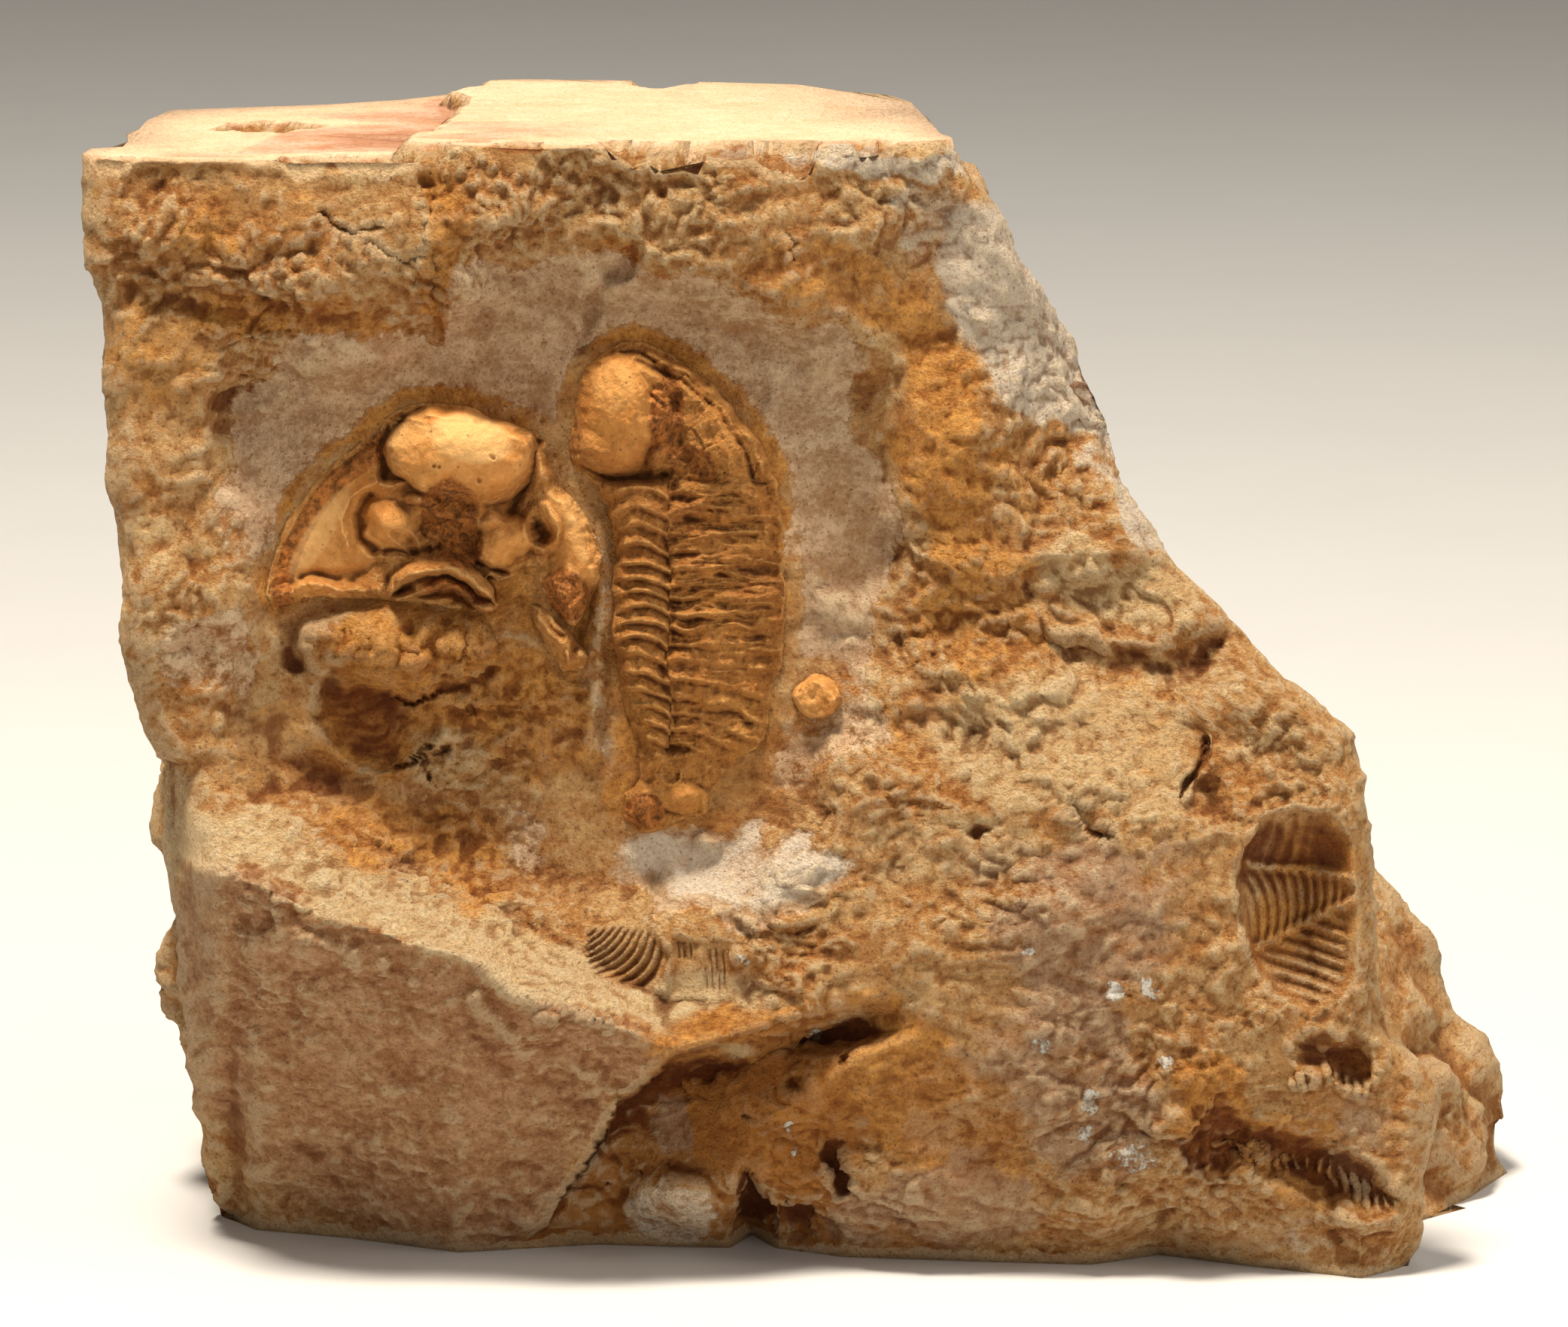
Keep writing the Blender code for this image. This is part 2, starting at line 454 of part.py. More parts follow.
def stone_shell(columns, rows, deep, back_columns):
    """Closed block: each row is a loop of front, right wall, back and left wall; two grids cap it.

    Returns the points and the faces. back_columns divides columns, and the cap's last strip has wider faces.
    """
    u = np.linspace(0.0, 1.0, columns + 1)[None, :]
    v = np.linspace(0.0, 1.0, rows + 1)[:, None]
    b = np.broadcast_to(v * 100.0, (rows + 1, columns + 1))
    for _ in range(4):
        left = at_height(b, LEFT_EDGE)
        a = left + (at_height(b, RIGHT_EDGE) - left) * u
        low = follow(a, BOTTOM_EDGE)
        b = low + (follow(a, TOP_EDGE) - low) * v
    relief = front_relief(a, b)
    relief[0] = floor_relief(b[0])
    front = on_chart(a, b, relief)
    front[-1, :, 2] = top_height(front[-1, :, 0], front[-1, :, 1])

    def wall(top_path, foot_path, steps):
        share = np.linspace(0.0, 1.0, steps + 1)[None, :]
        top = along_path(top_path, share)
        foot = along_path(foot_path, share)
        plan = foot + (top - foot) * v[..., None]
        rise = np.broadcast_to(v[..., None] * TOP_LEFT_Z, plan.shape[:2] + (1,))
        return np.concatenate([plan, rise], axis=-1)

    right = wall(TOP_RIGHT_WALL, FOOT_RIGHT_WALL, deep)
    back = wall(TOP_BACK, FOOT_BACK, back_columns)
    left = wall(TOP_LEFT_WALL, FOOT_LEFT_WALL, deep)
    inward = np.linspace(0.0, 1.0, deep + 1)[None, :]
    across = np.linspace(0.0, 1.0, back_columns + 1)[None, :]
    left[..., 0] -= LEFT_FOOT_SWELL * ease(v, 0.04, 0.2) * ease(v, 0.5, 0.3)
    right[..., 0] += RIGHT_FOOT_SWELL * ease(v, 0.0, 0.06) * ease(v, 0.5, 0.2) * inward**2
    back[..., 1] += BACK_SWELL * np.sin(np.pi * v) * np.sin(np.pi * across)
    fade = 1.0 - ease(inward, 0.0, 0.3)[..., None]
    right += (front[:, -1:] - right[:, :1]) * fade
    left += (front[:, :1] - left[:, -1:]) * fade[:, ::-1]
    back += (right[:, -1:] - back[:, :1]) * (1.0 - across[..., None])
    back += (left[:, :1] - back[:, -1:]) * across[..., None]
    loops = np.concatenate([front[:, :-1], right[:, :-1], back[:, :-1], left[:, :-1]], axis=1)
    loops[-1, :, 2] = top_height(loops[-1, :, 0], loops[-1, :, 1])
    loops[0, :, 2] = 0.0

    around = loops.shape[1]
    index = np.arange((rows + 1) * around).reshape(rows + 1, around)
    following = np.roll(index, -1, axis=1)
    sides = np.stack([index[:-1], following[:-1], following[1:], index[1:]], axis=-1).reshape(-1, 4)
    faces = sides.tolist()
    points = [loops.reshape(-1, 3)]
    start = loops.shape[0] * around
    group = columns // back_columns
    for row, upward in ((rows, True), (0, False)):
        front_row = index[row, : columns + 1]
        right_row = index[row, columns : columns + deep + 1]
        back_row = index[row, columns + deep : columns + deep + back_columns + 1][::-1]
        left_row = np.append(index[row, columns + deep + back_columns :], index[row, 0])[::-1]
        t = np.linspace(0.0, 1.0, deep + 1)[1:-1, None, None]
        near = loops[row, front_row - row * around][None]
        far_share = np.linspace(0.0, 1.0, columns + 1) * back_columns
        far_points = loops[row, back_row - row * around]
        far_index = range(back_columns + 1)
        far = np.stack([np.interp(far_share, far_index, far_points[:, i]) for i in range(3)], axis=-1)
        inner = (near + (far[None] - near) * t)[:, 1:-1]
        if upward:
            inner[..., 2] = top_height(inner[..., 0], inner[..., 1])
        else:
            inner[..., 2] = 0.0
        count = inner.shape[0] * inner.shape[1]
        inside = start + np.arange(count).reshape(inner.shape[:2])
        start += count
        points.append(inner.reshape(-1, 3))
        grid = np.concatenate([left_row[1:-1, None], inside, right_row[1:-1, None]], axis=1)
        grid = np.concatenate([front_row[None], grid], axis=0)
        cap = np.stack([grid[:-1, :-1], grid[:-1, 1:], grid[1:, 1:], grid[1:, :-1]], axis=-1).reshape(-1, 4)
        strip = [
            grid[-1, k * group : (k + 1) * group + 1].tolist() + [back_row[k + 1], back_row[k]]
            for k in range(back_columns)
        ]
        ring = cap.tolist() + strip
        faces += ring if upward else [face[::-1] for face in ring]
    return np.concatenate(points), faces


def vertex_normals(points, faces):
    """Unit normals: each face's area vector summed over its corners."""
    total = np.zeros_like(points)
    for size in {len(face) for face in faces}:
        ring = np.array([face for face in faces if len(face) == size])
        corners = points[ring]
        middle = corners.mean(axis=1, keepdims=True)
        area = np.cross(corners - middle, np.roll(corners, -1, axis=1) - middle).sum(axis=1)
        for k in range(size):
            np.add.at(total, ring[:, k], area)
    return total / np.maximum(np.linalg.norm(total, axis=1, keepdims=True), 1e-9)


def weathered(points, faces):
    """Broken stone: chips and rubble push each point along its normal, save on the sawn top and the seat."""
    normals = vertex_normals(points, faces)
    height = points[:, 2]
    sawn = ease(normals[:, 2], 0.75, 0.95) * (height > TOP_LEFT_Z - 2.0)
    back = ease(points[:, 1], -24.0, -8.0)
    cleared = ease(depth_inside(*to_chart(points), BASIN), -1.0, 4.0) * (1.0 - back)
    rough = FINE_CHIP[1] * chips(points * (1.0, 1.0, 1.3), FINE_CHIP[0], 5)
    rough += FINE_RUBBLE[1] * rubble(points, FINE_RUBBLE[0], 2, 21)
    bold = BOLD_CHIP[1] * chips(points, BOLD_CHIP[0], 40)
    bold += BOLD_RUBBLE[1] * rubble(points, BOLD_RUBBLE[0], 2, 60)
    push = rough * (0.6 + 0.4 * back) * (1.0 - 0.75 * cleared) + bold * back
    push = push * (1.0 - sawn) * ease(height, 0.0, 4.0) * ease(TOP_RIGHT_Z - height, -0.6, 3.0)
    return points + normals * push[:, None]


def thorax_phase(a, b):
    """Number of rings passed from the neck down to (a, b): arcs on the axis, falling ribs beside it."""
    order = np.arange(len(RING_CRESTS), dtype=float)
    bow = 0.8 * np.clip(np.abs(a - AXIS_A) / 2.6, 0.0, 1.3) ** 2
    tail = ease(b, 57.0, 45.0)
    sweep = (0.05 + 0.42 * tail) * np.clip(a + 9.0, 0.0, 9.0)
    lean = np.where(a < FURROW_A, bow, 0.55 + sweep)
    return np.interp(-(b + lean), -np.array(RING_CRESTS), order)


def ring_profile(phase):
    """Thin crest at each whole number, a sharp drop under it and a slow rise to the next."""
    t = phase - np.floor(phase)
    return np.where(t < 0.2, 1.0 - t / 0.2, np.clip((t - 0.2) / 0.8, 0.0, 1.0) ** 1.6)


def trilobite_relief(a, b):
    """Relief of the centre trilobite: ringed axis, ribbed flank, round head lobe, broken cheek and tail."""
    base = -BASIN_DEPTH
    right = at_height(b, TRILOBITE_RIGHT)
    axis = AXIS_HEIGHT * np.sqrt(np.clip(1.0 - ((a - AXIS_A) / AXIS_HALF_WIDTH) ** 2, 0.0, 1.0))
    flank = FLANK_HEIGHT * np.sqrt(np.clip((right - a) / FLANK_WIDTH, 0.0, 1.0))
    body = np.maximum(axis, flank) * (0.55 + 0.45 * ease(b, 41.0, 54.0))
    depth = np.where(a < FURROW_A, 0.95, np.where(a < INNER_RIB_A, 0.75, 0.5))
    ringed = ease(b, 45.5, 47.0) * ease(b, 72.5, 71.0)
    body = body + depth * (ring_profile(thorax_phase(a, b)) - 0.6) * ringed
    body = body - 0.5 * (1.0 - ease(np.abs(a - FURROW_A), 0.0, 0.5)) * ringed

    neck = ease(b, 70.4, 71.4)
    glabella = 5.6 * lump(a, b, (-14.1, 76.9), (4.5, 5.9), 8.0, 0.5)
    cheek = 3.2 * lump(a, b, (-7.6, 75.0), (6.4, 7.2), 38.0, 0.6)
    knob = 3.4 * lump(a, b, (-10.7, 72.8), (1.6, 1.1), 40.0, 0.5)
    left_lobe = 2.6 * lump(a, b, (-17.6, 73.2), (1.2, 1.7), 25.0, 0.6)
    head = np.maximum(np.maximum(glabella, cheek), np.maximum(knob, left_lobe))
    head = head + groove(a, b, [(-9.3, 80.6), (-9.8, 77.5), (-9.6, 74.8), (-8.6, 72.6)], 1.3, 1.3)
    relief = body * (1.0 - neck) + head * neck

    tail = 1.7 * lump(a, b, (-9.3, 42.4), (2.6, 1.5), 0.0, 0.6)
    loose = 2.6 * lump(a, b, (-12.5, 41.6), (1.8, 1.8), 20.0, 0.6)
    cup = 1.9 * lump(a, b, (-10.0, 44.5), (1.3, 1.3), 0.0, 0.5)
    cup -= 1.5 * lump(a, b, (-9.8, 44.6), (0.8, 0.8), 0.0, 0.5)
    return base + np.maximum(relief, np.maximum(tail, np.maximum(loose, cup)))


def head_relief(a, b):
    """Relief of the left head: brown rim, domed cheeks, eye lobes, wide forehead and arched neck ring."""
    rim_in = line_distance(a, b, HEAD_BORDER[:7])
    cheek = 1.2 + 2.6 * lump(a, b, (-38.5, 65.2), (6.4, 7.5), -30.0, 0.7)
    rim = 1.3 * ease(rim_in, 2.1, 1.4)
    forehead = 6.2 * lump(a, b, (-28.8, 73.0), (6.6, 4.9), -3.0, 0.42)
    waist = 4.9 * lump(a, b, (-29.2, 68.6), (4.9, 5.4), 0.0, 0.6)
    left_eye = 3.9 * lump(a, b, (-35.0, 66.9), (2.8, 1.5), -40.0, 0.5)
    eye_line = [(-38.1, 65.8), (-37.6, 68.6), (-35.2, 70.1), (-33.2, 70.1)]
    eye_rim = 3.4 * (1.0 - ease(line_distance(a, b, eye_line), 0.3, 1.1))
    right_lobe = 4.6 * lump(a, b, (-24.8, 64.9), (1.8, 2.9), -35.0, 0.5)
    right_knob = 4.0 * lump(a, b, (-25.3, 67.4), (1.7, 1.1), -10.0, 0.6)
    right_eye = 3.3 * lump(a, b, (-21.7, 66.6), (1.9, 2.7), 10.0, 0.5)
    side = 3.0 * lump(a, b, (-21.6, 70.2), (2.2, 3.2), 20.0, 0.7)
    right_cheek = 3.0 * lump(a, b, (-19.4, 63.4), (2.9, 6.6), 6.0, 0.5)
    pebble = 5.2 * lump(a, b, (-33.0, 68.9), (0.9, 0.6), -10.0, 0.4)
    neck_line = [(-34.8, 61.5), (-33.0, 63.0), (-30.5, 63.3), (-28.0, 62.2), (-26.0, 60.6)]
    neck_ring = 4.0 * (1.0 - ease(line_distance(a, b, neck_line), 0.3, 1.3))
    strip_line = [(-45.0, 60.2), (-42.5, 61.3), (-36.0, 61.1)]
    strip = 2.0 * (1.0 - ease(line_distance(a, b, strip_line), 0.2, 1.0))
    relief = cheek + rim
    forms = (
        forehead, waist, left_eye, eye_rim, right_lobe, right_knob, right_eye, side, right_cheek, neck_ring,
        strip, pebble,
    )
    for form in forms:
        relief = np.maximum(relief, form)
    relief = relief - 1.9 * lump(a, b, (-29.6, 67.3), (2.9, 3.2), 0.0, 0.5)
    relief += groove(a, b, [(-37.0, 67.6), (-37.0, 65.8), (-36.0, 64.8)], 1.2, 1.6)
    relief += groove(a, b, [(-43.0, 62.2), (-38.2, 61.9), (-36.0, 63.6)], 0.9, 1.2)
    relief += groove(a, b, [(-33.6, 61.0), (-30.6, 61.6), (-27.8, 60.6)], 1.8, 1.4)
    relief += groove(a, b, [(-35.2, 74.6), (-35.1, 71.4)], 0.8, 1.0)
    relief += groove(a, b, [(-22.6, 73.8), (-22.9, 70.6), (-23.9, 68.6)], 0.9, 1.2)
    relief += groove(a, b, [(-19.9, 68.8), (-19.4, 66.0), (-20.8, 63.6)], 0.8, 0.7)
    return relief - BASIN_DEPTH


def fragment_relief(a, b):
    """Relief of the spine fragment: a round bar with a groove along its upper edge."""
    inside = depth_inside(a, b, CHEEK_FRAGMENT)
    bar = 1.9 * np.sqrt(np.clip(inside / 1.0, 0.0, 1.0))
    return bar + groove(a, b, [(-21.6, 59.0), (-20.0, 57.3), (-18.6, 56.2)], 0.7, 0.5) - BASIN_DEPTH


def shell_relief(a, b):
    """Relief of the small shell: a very flat dome."""
    return 1.1 * lump(a, b, SHELL_MIDDLE, (2.6, 2.6), 0.0, 1.0) - BASIN_DEPTH + 0.8


def mould_relief(a, b):
    """Floor of the ribbed mould: a bowl, with the tail's axis between two furrow crests, and ribs."""
    inside = depth_inside(a, b, MOULD)
    bowl = 2.0 - 4.6 * np.clip(inside / 5.5, 0.0, 1.0) ** 0.6
    upper = follow(a, UPPER_FURROW)
    lower = follow(a, LOWER_FURROW)
    crests = 2.0 - ease(np.abs(b - upper), 0.0, 0.9) - ease(np.abs(b - lower), 0.0, 0.9)
    axis_rib = np.cos(2.0 * np.pi * (a + 0.35 * (b - lower)) / 1.72)
    low_rib = np.cos(2.0 * np.pi * (0.78 * (b - lower) + 0.62 * (a - 40.0)) / 1.9)
    high_rib = np.cos(2.0 * np.pi * (a - 0.3 * (b - upper)) / 1.9)
    rib = np.where(b > upper, 0.6 * high_rib, np.where(b > lower, axis_rib, low_rib))
    return bowl + 0.9 * crests * ease(inside, 0.3, 1.5) + 0.45 * rib * ease(inside, 0.5, 2.0)


def slab(outline, near, far, across, up):
    """Closed piece over the chart box of an outline: a near and a far relief, joined by four thin sides."""
    low = np.min(outline, axis=0) - BOX_MARGIN
    high = np.max(outline, axis=0) + BOX_MARGIN
    a, b = np.meshgrid(np.linspace(low[0], high[0], across + 1), np.linspace(low[1], high[1], up + 1))
    front = on_chart(a, b, near(a, b)).reshape(-1, 3)
    rear = on_chart(a, b, far(a, b)).reshape(-1, 3)
    index = np.arange(a.size).reshape(a.shape)
    skin = np.stack([index[:-1, :-1], index[:-1, 1:], index[1:, 1:], index[1:, :-1]], axis=-1).reshape(-1, 4)
    rim = np.concatenate([index[0], index[1:, -1], index[-1, -2::-1], index[-2:0:-1, 0]])
    after = np.roll(rim, -1)
    sides = np.stack([after, rim, rim + a.size, after + a.size], axis=-1)
    return np.concatenate([front, rear]), np.concatenate([skin, skin[:, ::-1] + a.size, sides])


def flat(relief):
    """A relief that is the same all over."""
    return lambda a, b: np.full_like(a, relief)


def prism(outline, low, high):
    """Closed straight block along the sight lines over a counter-clockwise chart outline."""
    loop = np.array(outline)
    n = len(loop)
    near = on_chart(loop[:, 0], loop[:, 1], np.full(n, high))
    far = on_chart(loop[:, 0], loop[:, 1], np.full(n, low))
    sides = [[(k + 1) % n, k, n + k, n + (k + 1) % n] for k in range(n)]
    return np.concatenate([near, far]), [list(range(n)), list(range(2 * n - 1, n - 1, -1))] + sides


def grown(outline, gap):
    """A counter-clockwise outline with each point moved out along the mean normal of its two edges."""
    loop = np.array(outline)
    edge = np.roll(loop, -1, axis=0) - loop
    out = np.stack([edge[:, 1], -edge[:, 0]], axis=-1)
    out /= np.linalg.norm(out, axis=1, keepdims=True)
    mean = out + np.roll(out, 1, axis=0)
    mean /= np.linalg.norm(mean, axis=1, keepdims=True)
    return loop + mean * gap / np.maximum(np.sum(mean * out, axis=1, keepdims=True), 0.5)


def counter_clockwise(outline):
    """The same outline, turned round if its area is negative."""
    x, y = np.transpose(outline)
    area = np.sum(x * np.roll(y, -1) - np.roll(x, -1) * y)
    return list(outline) if area > 0 else list(outline)[::-1]


def material(name, colour, roughness):
    """A plain Principled finish."""
    made = bpy.data.materials.new(name)
    made.use_nodes = True
    shader = made.node_tree.nodes["Principled BSDF"]
    shader.inputs["Base Color"].default_value = (*colour, 1.0)
    shader.inputs["Roughness"].default_value = roughness
    shader.inputs["Metallic"].default_value = 0.0
    return made


def add_object(name, points, faces):
    """An object whose mesh holds the points in metres, shifted so that the block stands over the origin."""
    shifted = (points + (*CENTRE_SHIFT, 0.0)) * MM
    mesh = bpy.data.meshes.new(name)
    mesh.from_pydata(shifted.tolist(), [], [[int(i) for i in face] for face in faces])
    mesh.update()
    made = bpy.data.objects.new(name, mesh)
    bpy.context.scene.collection.objects.link(made)
    return made


def thinned(piece, triangles):
    """The piece with its mesh collapsed to about this many triangles, most where it is most curved."""
    piece.modifiers.new("split", "TRIANGULATE")
    bpy.context.view_layer.update()
    count = len(piece.evaluated_get(bpy.context.evaluated_depsgraph_get()).data.polygons)
    fewer = piece.modifiers.new("fewer", "DECIMATE")
    fewer.ratio = min(1.0, triangles / count)
    bpy.context.view_layer.update()
    ready = piece.evaluated_get(bpy.context.evaluated_depsgraph_get())
    mesh = bpy.data.meshes.new_from_object(ready)
    piece.modifiers.clear()
    piece.data = mesh
    return piece


def seated(piece):
    """The piece with the points of its seat set exactly on the floor."""
    for vertex in piece.data.vertices:
        if vertex.co.z < SEAT_SNAP * MM:
            vertex.co.z = 0.0
    return piece


def combine(piece, operation, tool):
    """An exact Boolean with a tool that stays as a wire guide."""
    tool.hide_render = True
    tool.display_type = "WIRE"
    step = piece.modifiers.new(operation.lower() + "_" + tool.name, "BOOLEAN")
    step.operation = operation
    step.solver = "EXACT"
    step.object = tool


def trimmed_slab(name, outline, near, far, grid, triangles):
    """A slab with relief, thinned and then trimmed to its outline."""
    piece = thinned(add_object(name, *slab(outline, near, far, *grid)), triangles)
    reach = prism(outline, FOSSIL_BED - BOX_MARGIN, CUTTER_REACH + BOX_MARGIN)
    combine(piece, "INTERSECT", add_object(name + "_outline", *reach))
    return piece


def shell_outline():
    """The small shell's round outline."""
    turns = np.radians(np.arange(0.0, 360.0, SHELL_STEP))
    a = SHELL_MIDDLE[0] + SHELL_RADIUS * np.cos(turns)
    b = SHELL_MIDDLE[1] + SHELL_RADIUS * np.sin(turns)
    return list(zip(a, b))


def build():
    """All five pieces, and the guides that trim the fossils and cut the sockets and the mould."""
    for old in list(bpy.data.objects):
        bpy.data.objects.remove(old, do_unlink=True)

    points, faces = stone_shell(*STONE_GRID)
    stone = add_object("limestone_matrix", weathered(points, faces), faces)
    seated(thinned(stone, STONE_TRIANGLES)).data.materials.append(material("limestone", LIMESTONE, 0.9))

    trilobite = TRILOBITE_RIGHT + TRILOBITE_LEFT[::-1]
    fossils = (
        ("centre_trilobite", trilobite, trilobite_relief, (60, 170), TRILOBITE_TRIANGLES),
        ("left_trilobite_head", HEAD_BORDER, head_relief, (110, 76), HEAD_TRIANGLES),
        ("cheek_fragment", CHEEK_FRAGMENT, fragment_relief, (24, 28), FRAGMENT_TRIANGLES),
        ("small_shell", shell_outline(), shell_relief, (14, 14), SHELL_TRIANGLES),
    )
    for name, border, relief, grid, triangles in fossils:
        outline = counter_clockwise(border)
        piece = trimmed_slab(name, outline, relief, flat(FOSSIL_BED), grid, triangles)
        piece.data.materials.append(material(name + "_shell", *FINISHES[name]))
        socket = prism(grown(outline, SOCKET_GAP), FOSSIL_BED - SOCKET_GAP, CUTTER_REACH)
        combine(stone, "DIFFERENCE", add_object(name + "_socket", *socket))

    outline = counter_clockwise(MOULD)
    plug = trimmed_slab("mould_plug", outline, flat(CUTTER_REACH), mould_relief, (48, 76), MOULD_TRIANGLES)
    combine(stone, "DIFFERENCE", plug)


build()
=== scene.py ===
"""Looks of the trilobite fossil: weathered limestone, fossil shell, studio floor, light and camera.

Shapes on the front are drawn on a chart: a runs across and b up, in millimetres, square to a viewer who looks
slightly down on the stone. The relief of a point is how far it stands out of the stone's flat front wall,
measured along the sight line. All else is in the stone's own frame: millimetres, +X right, +Y back, +Z up.
"""

import bpy
import numpy as np
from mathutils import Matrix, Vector


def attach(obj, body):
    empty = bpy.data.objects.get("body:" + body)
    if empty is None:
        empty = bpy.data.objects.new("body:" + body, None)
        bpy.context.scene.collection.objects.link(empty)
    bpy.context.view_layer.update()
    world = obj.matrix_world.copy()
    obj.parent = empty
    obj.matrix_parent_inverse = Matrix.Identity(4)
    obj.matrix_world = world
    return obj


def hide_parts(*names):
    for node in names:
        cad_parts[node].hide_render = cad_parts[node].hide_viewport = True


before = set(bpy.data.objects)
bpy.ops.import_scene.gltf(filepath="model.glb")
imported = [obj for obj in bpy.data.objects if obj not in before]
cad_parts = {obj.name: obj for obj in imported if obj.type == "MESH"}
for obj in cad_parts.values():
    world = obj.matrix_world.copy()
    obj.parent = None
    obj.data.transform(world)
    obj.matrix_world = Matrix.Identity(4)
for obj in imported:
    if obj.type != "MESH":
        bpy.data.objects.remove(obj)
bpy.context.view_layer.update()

MM = 0.001

# The viewer of the chart, and the photograph's frame
EYE_DISTANCE = 600.0
EYE_RISE = np.radians(11.0)
SINE = np.sin(EYE_RISE)
COSINE = np.cos(EYE_RISE)
CHART_EYE_B = 54.5
WALL_Y = -28.0
WALL_Z = 56.5
PHOTO_WIDTH = 2084
PIXELS_PER_MM = 15.0
FRAME_WIDTH_MM = PHOTO_WIDTH / PIXELS_PER_MM
SENSOR = 36.0

# The block
TOP_LEFT_Z = 101.4
TOP_RIGHT_Z = 102.6
TOP_STEP_X = -30.5
CENTRE_SHIFT = (-3.486, 1.056)
BASIN_DEPTH = 4.0
RECESS_DEPTH = 9.5
FOOT_ROUNDING = 6.0
EDGE_ROUNDING = 2.4
EDGE_DROP = 2.2
LEFT_FOOT_SWELL = 3.4
RIGHT_FOOT_SWELL = 4.8
BACK_SWELL = 3.0

# The block's grid: columns, rows, depth steps, back columns; where its lines lie closer; triangles kept
BLOCK_GRID = (420, 380, 48, 140)
CLOSE_COLUMNS = ((0.30, 0.47, 1.4), (0.80, 1.0, 1.7))
CLOSE_ROWS = ((0.04, 0.44, 1.4),)
BLOCK_TRIANGLES = 196000

# Chart outlines of the front, each point (a, b)
LEFT_EDGE = [
    (-48.7, 5.1), (-51.4, 9.5), (-53.1, 14.6), (-53.1, 18.5), (-51.9, 22), (-51.4, 27.8), (-52.5, 37.5),
    (-53.6, 45.8), (-55.3, 46.4), (-56.6, 48.3), (-57.6, 51.3), (-58.7, 58), (-59.4, 67.9), (-60.3, 79.6),
    (-60.4, 86.5), (-62.2, 90), (-62.2, 100.5),
]
RIGHT_EDGE = [
    (55.3, 1.1), (56.9, 4.3), (56.5, 8.5), (58.1, 15.6), (57.7, 17.9), (53.9, 21.9), (53.1, 25.4),
    (52.3, 33.3), (51.3, 44.6), (50.6, 48.2), (45.2, 52.1), (38.6, 59.4), (34.5, 62.8), (32, 66.6),
    (29.8, 71.1), (29.3, 75.9), (27.2, 79.6), (25.7, 83.9), (23.2, 87.6), (19.5, 93.8), (16.5, 97.8),
    (14.7, 100.7),
]
BOTTOM_EDGE = [
    (-48.7, 5.1), (-46.8, 4.3), (-38.8, 3.6), (-28.8, 2.3), (-16.8, 3), (-4.8, 2.7), (-2.8, 3.9), (-0.8, 2.7),
    (5.2, 1.9), (17, 1.5), (27.2, 1.2), (33.2, 2.1), (41.2, 1.1), (51.2, 0), (55.3, 1.1),
]
TOP_EDGE = [
    (-62.2, 99.6), (-57, 99.2), (-31, 99.2), (-28, 100.6), (-15, 100.2), (-12, 99.4), (4, 99.6),
    (14.7, 100.4),
]

# Plan of the block behind the front, each point (X, Y), in order right wall, back, left wall
TOP_RIGHT_WALL = [(14.5, -28), (13.3, -12.4), (11.7, 6.2)]
TOP_BACK = [
    (11.7, 6.2), (9.7, 12.6), (5.5, 15.8), (1.3, 21.7), (-9.4, 24.4), (-24.6, 26.4), (-31, 25), (-36, 19.4),
    (-43, 15.2), (-57, 10.7),
]
TOP_LEFT_WALL = [(-57, 10.7), (-58.4, 1.9), (-58.6, -19), (-61, -21.5), (-61, -28)]
FOOT_RIGHT_WALL = [(55, -26), (54, -17), (59, -9), (64.5, -1), (69, 8)]
FOOT_BACK = [(69, 8), (66, 19), (48, 27), (20, 31), (-14, 32), (-38, 27), (-51, 16)]
FOOT_LEFT_WALL = [(-51, 16), (-53, 2), (-51, -10), (-48, -14)]

# How far the front stands out, in millimetres, where the columns (a) cross the rows (b)
LEVEL_COLUMNS = (-62, -45, -30, -15, 0, 15, 30, 45, 58)
LEVEL_ROWS = (0, 10, 20, 30, 40, 50, 58, 66, 75, 84, 92, 101)
LEVELS = (
    (-4, -4, -4, -4, -5, -2, -2, -1, -2),
    (-2, -2, -2, -2, -2, 0.5, 0.5, 0.5, 0),
    (-1, -1, -1, 0, 1.5, 3, 3, 2, -1),
    (-1, -0.5, -0.5, 0, 1.5, 3, 3.5, 2, -1),
    (-1.5, -1, -1, 0, 0, 1.5, 2.5, 1.5, -1),
    (-0.5, 0, 0, 0, -0.5, -1, -1, -1, -3),
    (-0.5, 0, 0, 0, -0.5, -3, -3.5, -4, -6),
    (-0.5, 0, 0, 0, -0.5, -2.5, -5, -8, -10),
    (-0.5, 0, 0, 0, 0, -2, -9, -12, -12),
    (-0.5, 0.5, -0.5, 0, 0, -4, -11, -12, -12),
    (-0.5, 1.5, 0.5, 0, 0, -4, -9, -10, -10),
    (-1, 1, 0, 0, 0, -3, -8, -10, -10),
)

# The hollow that was cleared around the fossils
BASIN = [
    (-49, 52), (-47, 44), (-38, 40), (-26, 34), (-16, 33), (-4, 34), (4, 39), (8, 48), (10, 60), (10, 70),
    (8, 79), (3, 85), (-6, 89), (-16, 92), (-27, 91), (-30, 85), (-44, 83.5), (-50, 77), (-48.5, 66),
]

